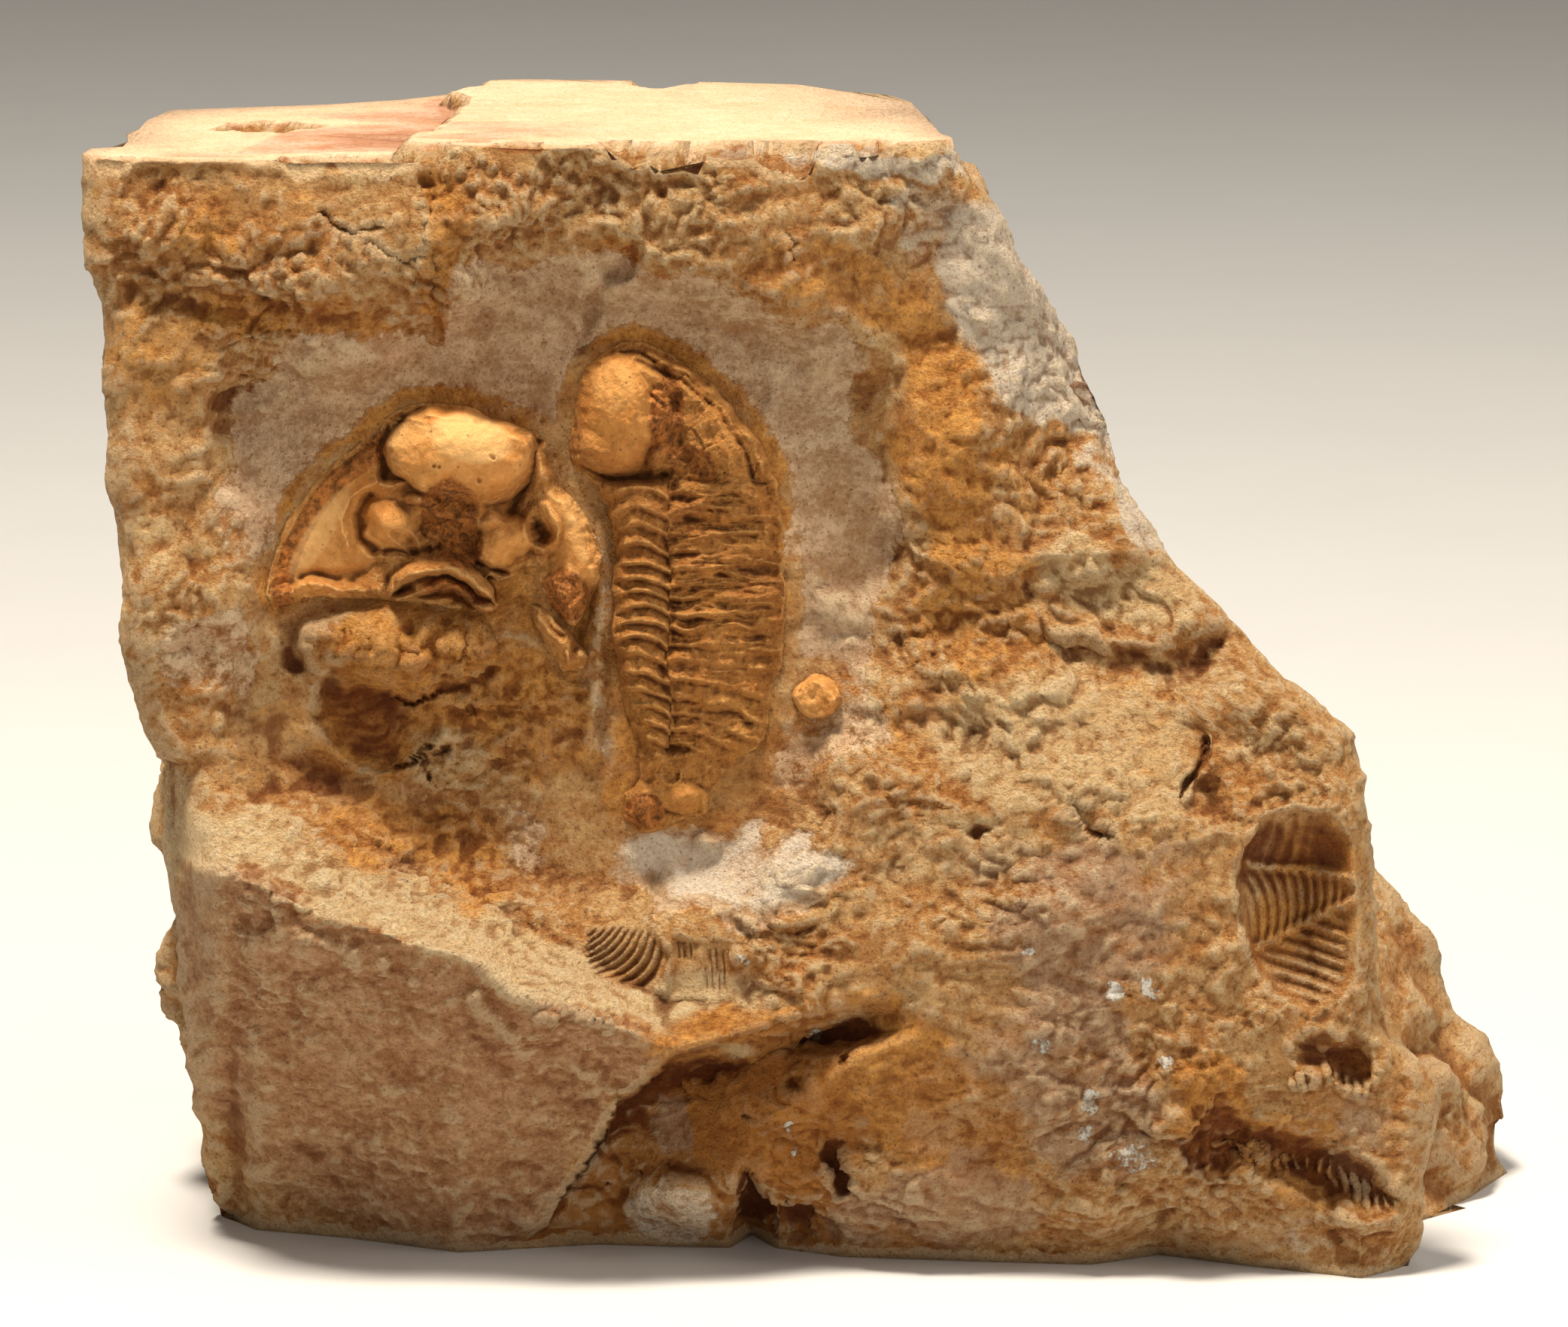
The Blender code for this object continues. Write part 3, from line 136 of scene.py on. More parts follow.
# The bright shelf, its crest and the dark facet under it
CREST = [
    (-62, 36.5), (-53.1, 36.1), (-48.7, 35.8), (-46.5, 34.8), (-38.9, 31.3), (-27.8, 28.4), (-24.3, 25.6),
    (-18.7, 23.7), (-14.6, 22.3), (-10.4, 20.5), (-6.9, 21.2), (-3.5, 21.7), (3, 24), (10, 26), (60, 26),
]
CREST_HEIGHT = [(-62, 2), (-53, 3), (-46, 6), (-38, 7), (-24, 7), (-10, 5.5), (-3.5, 4)]
SHELF_RISE = [(-62, 10), (-40, 9), (-30, 6.5), (-20, 6), (-10, 4), (-3.5, 3)]
FACET_EDGE = [(2.1, -23.6), (4.9, -21.5), (11.1, -17.4), (16, -13.9), (19.8, -9.7), (21.7, -3.5)]

# The hanging scallop at the right
SCALLOP = [(22, 58.6), (24.3, 57.7), (29.2, 56.1), (33.3, 55.9), (36.8, 57), (39.3, 58.4)]

# Centre trilobite
TRILOBITE_LEFT = [
    (-12.6, 39.7), (-14.1, 41), (-14.2, 42.8), (-12.6, 44.2), (-12.6, 46), (-13.7, 50), (-14.6, 53),
    (-15, 57), (-14.9, 64), (-15.4, 68), (-16.4, 70.4), (-18.4, 71.6), (-18.9, 73.4), (-18.6, 76),
    (-18.3, 78), (-17.4, 80.5), (-16, 82), (-14.6, 82.8),
]
TRILOBITE_RIGHT = [
    (-11, 39.8), (-7.3, 41.4), (-6.9, 43), (-4.3, 46), (-1.8, 47.8), (-1.4, 50), (-0.9, 52.5), (-0.3, 55),
    (-0.1, 59), (-0.1, 64), (-0.4, 67), (-0.7, 70), (-1.3, 72), (-2.3, 74), (-3.8, 76), (-5.3, 78),
    (-7.2, 79.6), (-9.2, 81.2), (-11.2, 82.3), (-12.6, 82.9),
]
RING_CRESTS = (
    71.9, 70.3, 68.5, 66.9, 65.3, 63.7, 62.2, 61, 59.7, 58.3, 56.9, 55.5, 53.8, 52.3, 50.9, 49.5, 48.1,
    46.7, 45.3,
)
AXIS_A = -13.0
AXIS_HALF_WIDTH = 3.3
FURROW_A = -10.2

# Left head, and the pieces near it
HEAD_BORDER = [
    (-45.3, 59.3), (-45.8, 60.6), (-45.6, 62), (-44.9, 64.5), (-43.8, 67), (-42.3, 69.5), (-40.3, 71.8),
    (-37.4, 73.9), (-35.9, 75), (-35.3, 76.2), (-33.2, 77.1), (-31.4, 77.5), (-28.6, 77.3), (-24.9, 75.9),
    (-22.6, 75), (-21.2, 74.4), (-21, 72), (-20.2, 70.4), (-18.6, 68.8), (-17.3, 67.2), (-16.4, 64.6),
    (-16.4, 62.2), (-17.2, 59.8), (-18.4, 58), (-19.1, 58.1), (-20.8, 59.9), (-21.6, 61.2), (-21.9, 63.4),
    (-23.3, 63.2), (-24, 62.3), (-25.8, 61.8), (-25.1, 60.8), (-25.6, 59.6), (-27, 59.2), (-34.6, 60.3),
    (-38.6, 60.5), (-42.5, 60.4), (-44.3, 59.6),
]
RIM_CORNERS = 8
BROW_GAP = [
    (-33.2, 66.2), (-31.8, 70.4), (-30, 71.2), (-26.8, 69.6), (-26.6, 66.2), (-28, 63.9), (-31.4, 64.2),
]
CHEEK_FRAGMENT = [
    (-22.5, 59.7), (-21.5, 59.5), (-20, 57.9), (-19, 57.2), (-18, 56.1), (-17.3, 55), (-17.8, 54),
    (-19.5, 53.8), (-20.1, 54.8), (-21.3, 56.8), (-22.3, 58.6),
]
SHELL_MIDDLE = (2.9, 51.6)
SHELL_RADIUS = 1.9
SHELL_STEP = 15.0
FOSSIL_BED = -8.0
SOCKET_DROP = 3.5
SKIRT_DROP = 3.0
FOSSIL_SPACING = 0.1
SKIRT_WIDTH = 0.8

# The ribbed mould at the right edge, and its two furrow crests
MOULD = [
    (45.3, 42.3), (42.5, 41.2), (40.4, 38.4), (39.8, 35.6), (40.3, 32), (41.2, 28.6), (43.4, 25.2),
    (46.8, 23.1), (49.6, 24.6), (51.4, 26.6), (51.7, 33), (51.2, 39.4), (48.6, 41.7),
]
UPPER_FURROW = [(39.8, 36.9), (42.4, 36.5), (46.2, 36.2), (49.6, 35.6), (52, 35)]
LOWER_FURROW = [(39.8, 28.4), (42.8, 29.8), (46.2, 31.6), (49.5, 33.1), (52, 34.2)]

# The mould of a tail under the left head, and the two ribbed fragments on the shelf
TAIL_MOULD = [
    (-41.4, 53.6), (-41.2, 50.4), (-39.4, 47.8), (-37.2, 46), (-35, 45.1), (-33.2, 45.3), (-31.8, 46.6),
    (-32.2, 48.8), (-33.2, 50.4), (-33.4, 52), (-36, 52.6), (-38.6, 54.2),
]
RIBBED_FRAGMENT = [
    (-17.7, 31.3), (-14.6, 31.6), (-11.4, 31), (-9.9, 28.6), (-10.6, 26.6), (-12.2, 25.2), (-15.4, 26),
    (-17, 26.6), (-17.9, 28.2),
]
UPRIGHT_FRAGMENTS = (
    [(-9.9, 28.1), (-9.6, 30.2), (-7.4, 30), (-7.6, 28.2)],
    [(-7.5, 25.6), (-7, 29.6), (-4.6, 29.2), (-4.9, 25.2)],
)
AROUND_UPRIGHT = [(-10.2, 25.2), (-10, 30.4), (-4.4, 30), (-4.2, 25)]
RIB_HUB = (-22, 36.6)
RIB_PITCH = 0.74

# Domes on the front: height, middle (a, b), half sizes, turn, power. Grooves: width, depth, points (a, b)
UPPER_DOMES = (
    (1.3, -42, 88.3, 5, 2.8, 0, 1), (1, -54, 93, 5, 3.5, 20, 1), (-1.3, -14.3, 89.9, 2.7, 1.5, 35, 0.7),
    (-1.5, -50.7, 55.6, 4, 3.4, 0, 0.8), (1.4, -56, 60, 4, 5, 0, 1),
)
UPPER_GROOVES = (
    (4.2, 0.9, (-58, 87), (-47, 85.2), (-40, 84.2), (-30, 84)),
    (1.6, 0.5, (-31.6, 97), (-31.4, 91), (-30.4, 84.5)), (2.6, 0.8, (-15.2, 89.4), (-16.8, 87), (-18, 83)),
    (0.5, 0.5, (0.8, 93.4), (1.1, 91.8), (0.7, 91), (1.2, 90)),
    (0.8, 0.6, (-41.5, 94), (-38, 92.2), (-35.5, 93)), (0.7, 0.6, (-36.8, 91.6), (-34, 90.2), (-31.8, 91)),
)
MIDDLE_DOMES = (
    (-1.2, -40.6, 43.8, 4.2, 2.8, -25, 1), (0.9, -24.5, 56, 3, 5, 30, 0.9), (1, -28, 51, 3.2, 1.4, -8, 0.6),
    (1, 5.2, 59.1, 2.3, 2.3, 0, 0.8), (0.8, -7, 38.3, 1.6, 0.8, 0, 0.6),
    (-1.5, -30.2, 46.7, 0.6, 0.7, 0, 0.5), (-1, -43.6, 55, 1.6, 1.2, -30, 0.6),
)
MIDDLE_GROOVES = (
    (0.45, 1, (-31.9, 46.6), (-31.9, 45), (-31.4, 43.9)),
    (0.45, 1.1, (-34.6, 45.2), (-33.2, 45.3), (-32.2, 46.2), (-31.2, 47.3)),
    (0.5, 0.9, (-34, 51.6), (-32.6, 51.3), (-31.2, 51.8), (-28.4, 52.2)),
    (0.5, 0.8, (-28.3, 50.7), (-27.6, 50.1), (-26.2, 50)),
    (0.35, -0.25, (-34.4, 44.6), (-34.1, 43.4), (-33.8, 42)),
    (0.35, -0.25, (-37.6, 43.4), (-36.2, 44.3), (-35, 45)),
    (1.6, 0.9, (-17.1, 62), (-17.5, 58), (-18.4, 54.6)),
)
LEFT_LEDGES = (
    (4, -0.9, (-47, 29.6), (-42, 29.4), (-38.5, 28)),
    (3.6, -0.9, (-27, 24.4), (-23.8, 20.2), (-18.8, 18.4), (-14.8, 15.4)),
    (2.4, -0.6, (-21.4, 23.4), (-20, 22.3), (-17.6, 22.4), (-15.6, 23.6)),
)
RIGHT_DOMES = (
    (-0.9, 27.4, 40.7, 2.6, 0.9, -48, 0.6), (-1.1, 37.6, 42.6, 2.4, 2.6, 30, 0.8),
    (0.7, 24.3, 52.1, 1.6, 1.1, 0, 0.6), (-0.9, 17.2, 39.3, 1.3, 0.9, 0, 0.7), (1.5, 20, 31, 9, 4, 10, 1),
)
RIGHT_GROOVES = (
    (0.9, -0.7, (35.3, 42), (37, 44), (38.2, 45.8), (37.9, 48)),
    (0.5, 0.9, (35, 42.4), (36.6, 44.4), (37.6, 46.2), (37.3, 47.8)),
    (0.5, 0.5, (26, 42.6), (27, 40.9), (28.6, 39)),
)
LOWER_RIGHT_DOMES = (
    (-2.2, 48.6, 19.6, 4, 2.4, -25, 0.8), (-3, 47, 9.6, 9.5, 2.6, -25, 0.8),
    (-2.2, 38.2, 12.9, 3.6, 4.2, 0, 0.9), (1.6, 52.5, 4.6, 4.6, 3.4, -20, 0.8),
    (1, 30.8, 10.8, 3.4, 2.2, 0, 0.8),
)
RECESS_DOMES = (
    (3.2, -9.6, 5.6, 4.6, 3.6, -25, 0.7), (1.6, -18, 5, 3.4, 3, 0, 0.8), (-4.5, -2.6, 4.6, 1.5, 5.4, 12, 0.6),
    (-2.6, 1, 4.8, 1.1, 2, -25, 0.6), (-1.8, 4.6, 9.8, 1, 2.8, 12, 0.7), (-1, 1.1, 17.4, 1.2, 0.8, 0, 0.6),
    (-1.2, 5.7, 19.3, 0.4, 0.35, 0, 0.5), (-0.8, -15.4, 8, 0.5, 0.25, 0, 0.5),
)
RECESS_GROOVES = (
    (0.7, 0.9, (-3.3, 14.7), (-2.2, 14.2), (-1.2, 13.7)), (0.7, 1.4, (-3.4, 9.2), (-2.7, 7.4), (-2.3, 5.6)),
)
HEAD_DOMES = (
    (-0.9, -33.5, 65.3, 1.6, 0.7, -35, 0.6), (0.75, -33, 68.9, 0.75, 0.48, -10, 0.5),
)
HEAD_GROOVES = (
    (1.5, 1.3, (-36.6, 69.4), (-37.6, 67.6), (-37.4, 65.6), (-36.2, 64.4)),
    (1.8, 0.6, (-42.6, 62.3), (-38.4, 62.2), (-36.2, 63.2)),
    (1.6, 1.2, (-35.6, 75.2), (-35, 73), (-35.4, 71.2)),
    (1.6, 1.3, (-22, 74.2), (-22.4, 71.4), (-23.6, 69.4), (-24, 68.2)),
    (1.7, 1.6, (-34.6, 61), (-32.8, 61.4), (-29.6, 61.1), (-27.4, 59.9)),
    (0.9, 2.4, (-26, 61.9), (-25.4, 60.9), (-25.6, 59.8)),
    (1.2, 1, (-35.4, 64.2), (-33.4, 64.3), (-31.6, 64.9)),
    (1, 1.1, (-27.2, 63.6), (-26, 63.2), (-24.6, 62.4)),
)
ROUGH_DOMES = (
    (0.75, -34, 56.5, 9, 3.4, -4, 0.5), (0.5, -26, 50, 9, 7, 20, 0.5), (0.5, -30, 40, 12, 6, -20, 0.5),
    (0.3, -44, 91, 16, 8, 0, 0.5),
)

# Size and height of the break marks
FINE_CHIP = (7.0, 0.9)
FINE_RUBBLE = (6.0, 0.8)
BOLD_CHIP = (19.0, 3.4)
BOLD_RUBBLE = (14.0, 1.6)
LEDGE = (8.0, 0.85)
CRUMB = (2.4, 0.32)
GRAIN = (1.0, 0.26)
CHIP_BEND = 1.6
LEDGE_BEND = 1.3
CHIP_ROUNDS = 6
ASKEW = np.array(((0.772, -0.345, 0.534), (0.502, 0.842, -0.197), (-0.390, 0.415, 0.822)))


def ease(x, low, high):
    """Smooth step: 0 below low, 1 above high, 3t^2 - 2t^3 between."""
    t = np.clip((x - low) / (high - low), 0.0, 1.0)
    return t * t * (3.0 - 2.0 * t)


def follow(x, points):
    """Second value of a drawn line of (first, second) points, read at x."""
    first, second = np.transpose(points)
    return np.interp(x, first, second)


def at_height(b, points):
    """The a of an edge drawn as (a, b) points, read at b."""
    across, up = np.transpose(points)
    return np.interp(b, up, across)


def lump(a, b, middle, size, turn=0.0, power=1.0, square=2.0):
    """A dome of height 1 on a turned ellipse: (1 - |x|^n - |y|^n) to a power inside it, 0 outside."""
    across = a - middle[0]
    up = b - middle[1]
    angle = np.radians(turn)
    along = across * np.cos(angle) + up * np.sin(angle)
    beside = up * np.cos(angle) - across * np.sin(angle)
    rho = np.abs(along / size[0]) ** square + np.abs(beside / size[1]) ** square
    return np.clip(1.0 - rho, 0.0, 1.0) ** power


def merge(first, second, soft=0.35):
    """Smooth maximum of two forms: the mean plus half the root of the squared difference and softness."""
    return 0.5 * (first + second + np.sqrt((first - second) ** 2 + soft * soft) - soft)


def line_distance(a, b, points):
    """Distance from each chart point to a line through the points."""
    nearest = np.full(np.shape(a), np.inf)
    for (a0, b0), (a1, b1) in zip(points, points[1:]):
        da = a1 - a0
        db = b1 - b0
        t = np.clip(((a - a0) * da + (b - b0) * db) / (da * da + db * db), 0.0, 1.0)
        nearest = np.minimum(nearest, np.hypot(a - a0 - t * da, b - b0 - t * db))
    return nearest


def depth_inside(a, b, outline):
    """Distance to a closed outline: positive inside it, negative outside."""
    inside = np.zeros(np.shape(a), dtype=bool)
    ring = outline + outline[:1]
    for (a0, b0), (a1, b1) in zip(ring, ring[1:]):
        spans = (b0 > b) != (b1 > b)
        crossing = a0 + (b - b0) * (a1 - a0) / (b1 - b0 if b1 != b0 else 1.0)
        inside ^= spans & (a < crossing)
    return np.where(inside, 1.0, -1.0) * line_distance(a, b, ring)


def groove(a, b, points, width, depth):
    """A V-shaped groove along a line, negative: -depth on the line, 0 at half the width from it."""
    return -depth * (1.0 - ease(line_distance(a, b, points), 0.0, 0.5 * width))


def ridge(a, b, points, width, height):
    """A rounded ridge along a line: height on the line, 0 at half the width from it."""
    return -groove(a, b, points, width, height)


def domes(a, b, listed):
    """Sum of the domes in a table."""
    return sum(row[0] * lump(a, b, row[1:3], row[3:5], *row[5:]) for row in listed)


def grooves(a, b, listed):
    """Sum of the grooves in a table; a negative depth is a ridge."""
    return sum(groove(a, b, points, width, depth) for width, depth, *points in listed)


def ribs(along, pitch):
    """A cosine wave, 1 at each multiple of the pitch."""
    return np.cos(2.0 * np.pi * along / pitch)


def scatter(cell, seed):
    """A repeatable number from 0 to 1 for each lattice cell."""
    x, y, z = np.moveaxis(cell.astype(np.int64).astype(np.uint64), -1, 0)
    mixed = x * np.uint64(73856093) ^ y * np.uint64(19349663) ^ z * np.uint64(83492791)
    mixed = (mixed ^ np.uint64(seed * 40503 + 977)) & np.uint64(0xFFFFFFFF)
    for factor in (2246822519, 3266489917):
        mixed = ((mixed ^ (mixed >> np.uint64(15))) * np.uint64(factor)) & np.uint64(0xFFFFFFFF)
    return (mixed ^ (mixed >> np.uint64(16))) / 4294967296.0


def noise(p, size, seed):
    """Smooth random field from -1 to 1: lattice values every `size`, blended by 6t^5 - 15t^4 + 10t^3."""
    place = p / size
    cell = np.floor(place)
    t = place - cell
    blend = t * t * t * (t * (t * 6.0 - 15.0) + 10.0)
    total = np.zeros(p.shape[:-1])
    for corner in np.ndindex(2, 2, 2):
        weight = np.prod(np.where(corner, blend, 1.0 - blend), axis=-1)
        total += weight * scatter(cell + corner, seed)
    return 2.0 * total - 1.0


def rubble(p, size, octaves, seed):
    """Sum of noise fields, each half as large and half as strong as the one before."""
    return sum(noise(p, size / 2**i, seed + i) / 2**i for i in range(octaves))


def crumble(p, size, octaves, seed, crease=0.6):
    """Lumps with creases between them: noise mixed with its own size, each field turned and half as large."""
    total = np.zeros(p.shape[:-1])
    for i in range(octaves):
        p = p @ ASKEW
        field = noise(p, size / 2**i, seed + i)
        total += ((1.0 - crease) * field + crease * (2.0 * np.abs(field) - 0.5)) / 2**i
    return total


def bends(p, size, seed):
    """Three random fields as an offset of each point, so that what is read there runs unevenly."""
    return np.stack([crumble(p, size, 3, seed + 3 * i, 0.0) for i in range(3)], axis=-1)


def ledges(p, size, steps, seed):
    """Broken steps with short steep risers: a smooth random field cut into levels."""
    field = steps * crumble(p, size, 3, seed, 0.1)
    whole = np.floor(field)
    return (whole + ease(field - whole, 0.72, 0.98)) / steps


def chips(p, size, seed):
    """Broken facets: the nearest of scattered points gives each place its own tilted plane."""
    place = p / size
    home = np.floor(place)
    nearest = np.full(p.shape[:-1], np.inf)
    value = np.zeros(p.shape[:-1])
    for step in np.ndindex(3, 3, 3):
        cell = home + np.array(step) - 1.0
        seat = cell + np.stack([scatter(cell, seed + i) for i in range(3)], axis=-1)
        tilt = np.stack([scatter(cell, seed + 3 + i) for i in range(3)], axis=-1) - 0.5
        offset = place - seat
        distance = np.sum(offset * offset, axis=-1)
        closer = distance < nearest
        nearest = np.where(closer, distance, nearest)
        value = np.where(closer, np.sum(offset * tilt, axis=-1) + scatter(cell, seed + 6) - 0.5, value)
    return value


def on_plane(a, b):
    """Chart places as points of a flat field, for the noise functions."""
    return np.stack([a, b, np.zeros_like(a)], axis=-1)


def wander(a, b, size, amount, seed):
    """Chart places shifted by two smooth random fields, so that drawn lines run unevenly."""
    field = on_plane(a, b)
    return a + amount * rubble(field, size, 2, seed), b + amount * rubble(field, size, 2, seed + 10)


def wall_distance(up):
    """How far the flat front wall lies before the chart, at a height above the eye's chart line."""
    return EYE_DISTANCE * up * SINE / (EYE_DISTANCE * COSINE + up * SINE)


def on_chart(a, b, relief):
    """World points in millimetres: C + (E - C) * r / D, with r the wall's own distance plus the relief."""
    up = b - CHART_EYE_B
    share = (wall_distance(up) + relief) / EYE_DISTANCE
    x = a * (1.0 - share)
    y = WALL_Y + up * SINE - (EYE_DISTANCE * COSINE + up * SINE) * share
    z = WALL_Z + up * COSINE + (EYE_DISTANCE * SINE - up * COSINE) * share
    return np.stack([x, y, z], axis=-1)


def to_chart(points):
    """Chart place (a, b) at which the viewer sees each world point."""
    x, y, z = np.moveaxis(points, -1, 0)
    back = y - WALL_Y + EYE_DISTANCE * COSINE
    over = z - WALL_Z - EYE_DISTANCE * SINE
    away = back * COSINE - over * SINE
    return x * EYE_DISTANCE / away, (back * SINE + over * COSINE) * EYE_DISTANCE / away + CHART_EYE_B


def floor_relief(b):
    """The relief at which the sight line through b meets the floor."""
    up = b - CHART_EYE_B
    return -EYE_DISTANCE * (WALL_Z + up * COSINE) / (EYE_DISTANCE * SINE - up * COSINE) - wall_distance(up)


def level(a, b):
    """The front's large form, read smoothly between the crossings of LEVELS."""
    table = np.array(LEVELS)
    column = np.interp(a, LEVEL_COLUMNS, range(len(LEVEL_COLUMNS)))
    row = np.interp(b, LEVEL_ROWS, range(len(LEVEL_ROWS)))
    i = np.clip(np.floor(column).astype(int), 0, len(LEVEL_COLUMNS) - 2)
    j = np.clip(np.floor(row).astype(int), 0, len(LEVEL_ROWS) - 2)
    s = ease(column - i, 0.0, 1.0)
    t = ease(row - j, 0.0, 1.0)
    low = table[j, i] * (1.0 - s) + table[j, i + 1] * s
    high = table[j + 1, i] * (1.0 - s) + table[j + 1, i + 1] * s
    return low * (1.0 - t) + high * t


def upper_marks(a, b):
    """Furrow, block edge, lumps, scratches and small hollows above and beside the fossils."""
    return domes(a, b, UPPER_DOMES) + grooves(a, b, UPPER_GROOVES)


def middle_marks(a, b):
    """The rubble around the left tail mould, the mould itself, and the ridge between the two trilobites."""
    place = on_plane(a, b)
    mound = lump(a, b, (-34.3, 56.0), (9.0, 4.2), -4.0, 0.7)
    marks = mound * (2.9 + 0.9 * crumble(place, 2.6, 4, 701, 0.8))
    marks += 0.45 * crumble(place, 2.2, 4, 711, 0.7) * lump(a, b, (-26.0, 49.5), (9.0, 8.0), 20.0, 0.5)
    bowl = lump(a, b, (-36.2, 50.0), (5.6, 5.2), -35.0, 0.7)
    marks -= 2.8 * bowl - 0.07 * ribs(np.hypot(a + 38.5, b - 55.0), 0.95) * ease(bowl, 0.2, 0.7)
    marks += 1.1 * (1.0 - ease(line_distance(a, b, [(-15.9, 67.0), (-15.8, 58.0), (-16.9, 46.0)]), -0.4, 1.5))
    return marks + domes(a, b, MIDDLE_DOMES) + grooves(a, b, MIDDLE_GROOVES)


def right_marks(a, b):
    """The scallop ledge and the small shell scraps on the right half."""
    under = follow(a, SCALLOP) - b
    span = ease(a, 21.0, 25.0) * ease(a, 42.0, 38.5)
    marks = -1.4 * span * ease(under, -0.4, 1.2) * ease(under, 7.0, 2.0)
    marks -= 1.2 * lump(a, b, (30.5, 60.5), (7.0, 3.6), 4.0, 0.9) * (under < 0.4)
    return marks + domes(a, b, RIGHT_DOMES) + grooves(a, b, RIGHT_GROOVES)


def lower_right_marks(a, b):
    """The two comb-like moulds, the orange hollow and the lumps of the heavy lower right."""
    teeth = 0.5 + 0.5 * ribs(a + 0.2 * b, 0.95)
    row = line_distance(a, b, [(45.8, 17.4), (50.0, 17.4), (51.6, 17.0)])
    marks = domes(a, b, LOWER_RIGHT_DOMES) + 0.8 * teeth * ease(row, 1.3, 0.5)
    comb = line_distance(a, b, [(42.0, 11.0), (48.0, 9.6), (54.0, 6.4)])
    marks += 0.7 * (0.5 + 0.5 * ribs(a + 0.35 * b, 0.85)) * ease(comb, 1.2, 0.4)
    return marks


def lower_left_marks(a, b):
    """Small ledges across the dark facet."""
    return grooves(a, b, LEFT_LEDGES)


def recess_marks(a, b):
    """The pale lump, the upright crack and the arch hollow at the foot of the recess, and its small holes."""
    return domes(a, b, RECESS_DOMES) + grooves(a, b, RECESS_GROOVES)


def mould_relief(a, b):
    """Floor of the ribbed mould: a bowl, the tail's axis between two crests, ribs fanning out of it."""
    inside = depth_inside(a, b, MOULD)
    bowl = 2.0 - 4.6 * np.clip(inside / 5.5, 0.0, 1.0) ** 0.6
    upper = follow(a, UPPER_FURROW)
    lower = follow(a, LOWER_FURROW)
    crests = 2.0 - ease(np.abs(b - upper), 0.0, 0.8) - ease(np.abs(b - lower), 0.0, 0.8)
    fade = ease(a, 50.8, 48.6)
    bend = 0.12 * (b - lower) ** 2
    axis_rib = ribs(a - 0.25 * (b - lower) + 0.5 * bend, 0.86)
    low_rib = ribs(0.80 * (b - lower) + 0.66 * (a - 40.0), 1.02)
    high_rib = ribs(a - 0.42 * (b - upper) + 0.03 * (b - upper) ** 2, 1.24)
    rib = np.where(b > lower, 0.8 * axis_rib, low_rib)
    rib = np.where(b > upper, 0.5 * high_rib * ease(a, 47.4, 45.0), rib)
    return bowl + 0.75 * crests * ease(inside, 0.3, 1.5) + 0.3 * rib * fade * ease(inside, 0.4, 1.6)


def from_sides(a, b):
    """Distance across to the nearer side edge of the front."""
    return np.minimum(a - at_height(b, LEFT_EDGE), at_height(b, RIGHT_EDGE) - a)


def front_form(a, b):
    """Relief of the stone's front, without its fossils and moulds."""
    there = wander(a, b, 3.0, 0.55, 241)
    around = wander(a, b, 8.0, 2.0, 251)
    open_form = level(a, b) - BASIN_DEPTH * ease(depth_inside(*around, BASIN), -2.5, 5.0)
    open_form = open_form + upper_marks(*there) + middle_marks(*there) + right_marks(*there)

    crest = follow(a, CREST)
    peak = follow(a, CREST_HEIGHT)
    has_shelf = ease(a, 3.0, -6.0)
    above = np.clip((b - crest) / follow(a, SHELF_RISE), 0.0, 1.0)
    shelf = open_form + (peak - open_form) * (1.0 - above) ** 1.25 * has_shelf

    foot_b = follow(a, BOTTOM_EDGE)
    foot = floor_relief(foot_b)
    fall = np.clip((crest - b) / (crest - foot_b), 0.0, 1.0)
    facet = peak + (foot - peak) * fall**1.15 + lower_left_marks(*there)

    edge = follow(b, FACET_EDGE)
    mass = open_form + lower_right_marks(*there)
    recess = -RECESS_DEPTH + (mass + RECESS_DEPTH) * ease(a - edge, 2.0, 17.0) + recess_marks(*there)
    right_side = np.where(b < crest, recess, mass)
    right_side = mass + (right_side - mass) * ease(crest - b, 0.0, 3.0)
    turn_in = (1.0 - np.clip((b - foot_b) / FOOT_ROUNDING, 0.0, 1.0)) ** 1.6
    right_side = right_side + (foot - right_side) * turn_in

    below = np.where(a < edge, facet, right_side)
    relief = np.where(b < crest, below, shelf)

    return relief - EDGE_DROP * (1.0 - np.clip(from_sides(a, b) / EDGE_ROUNDING, 0.0, 1.0)) ** 2


def fragment_ribs(a, b):
    """Ribs of the fragments on the shelf: arcs round a far hub on the first, upright ribs on the second."""
    around = np.hypot(a - RIB_HUB[0], b - RIB_HUB[1]) + 0.12 * (a + 14.0) * (b - 28.5)
    inside = ease(depth_inside(a, b, RIBBED_FRAGMENT), 0.0, 0.8)
    crest = 0.5 + 0.5 * ribs(around, RIB_PITCH)
    first = inside * (0.55 * crest**1.5 - 0.5)
    second, third = (ease(depth_inside(a, b, outline), 0.0, 0.5) for outline in UPRIGHT_FRAGMENTS)
    upright = 0.5 + 0.5 * ribs(a + 0.1 * (b - 28.0), 0.56)
    return first + np.maximum(second, third) * (0.4 * upright - 0.4)


def fossil_outlines():
    """Chart outlines of the four fossils by node name."""
    return {
        "centre_trilobite": TRILOBITE_RIGHT + TRILOBITE_LEFT[::-1],
        "left_trilobite_head": HEAD_BORDER,
        "cheek_fragment": CHEEK_FRAGMENT,
        "small_shell": shell_outline(),
    }


def inside_fossil(a, b, outline):
    """Distance inside a fossil's outline, which runs unevenly."""
    return depth_inside(*wander(a, b, 1.7, 0.2, 281), outline)


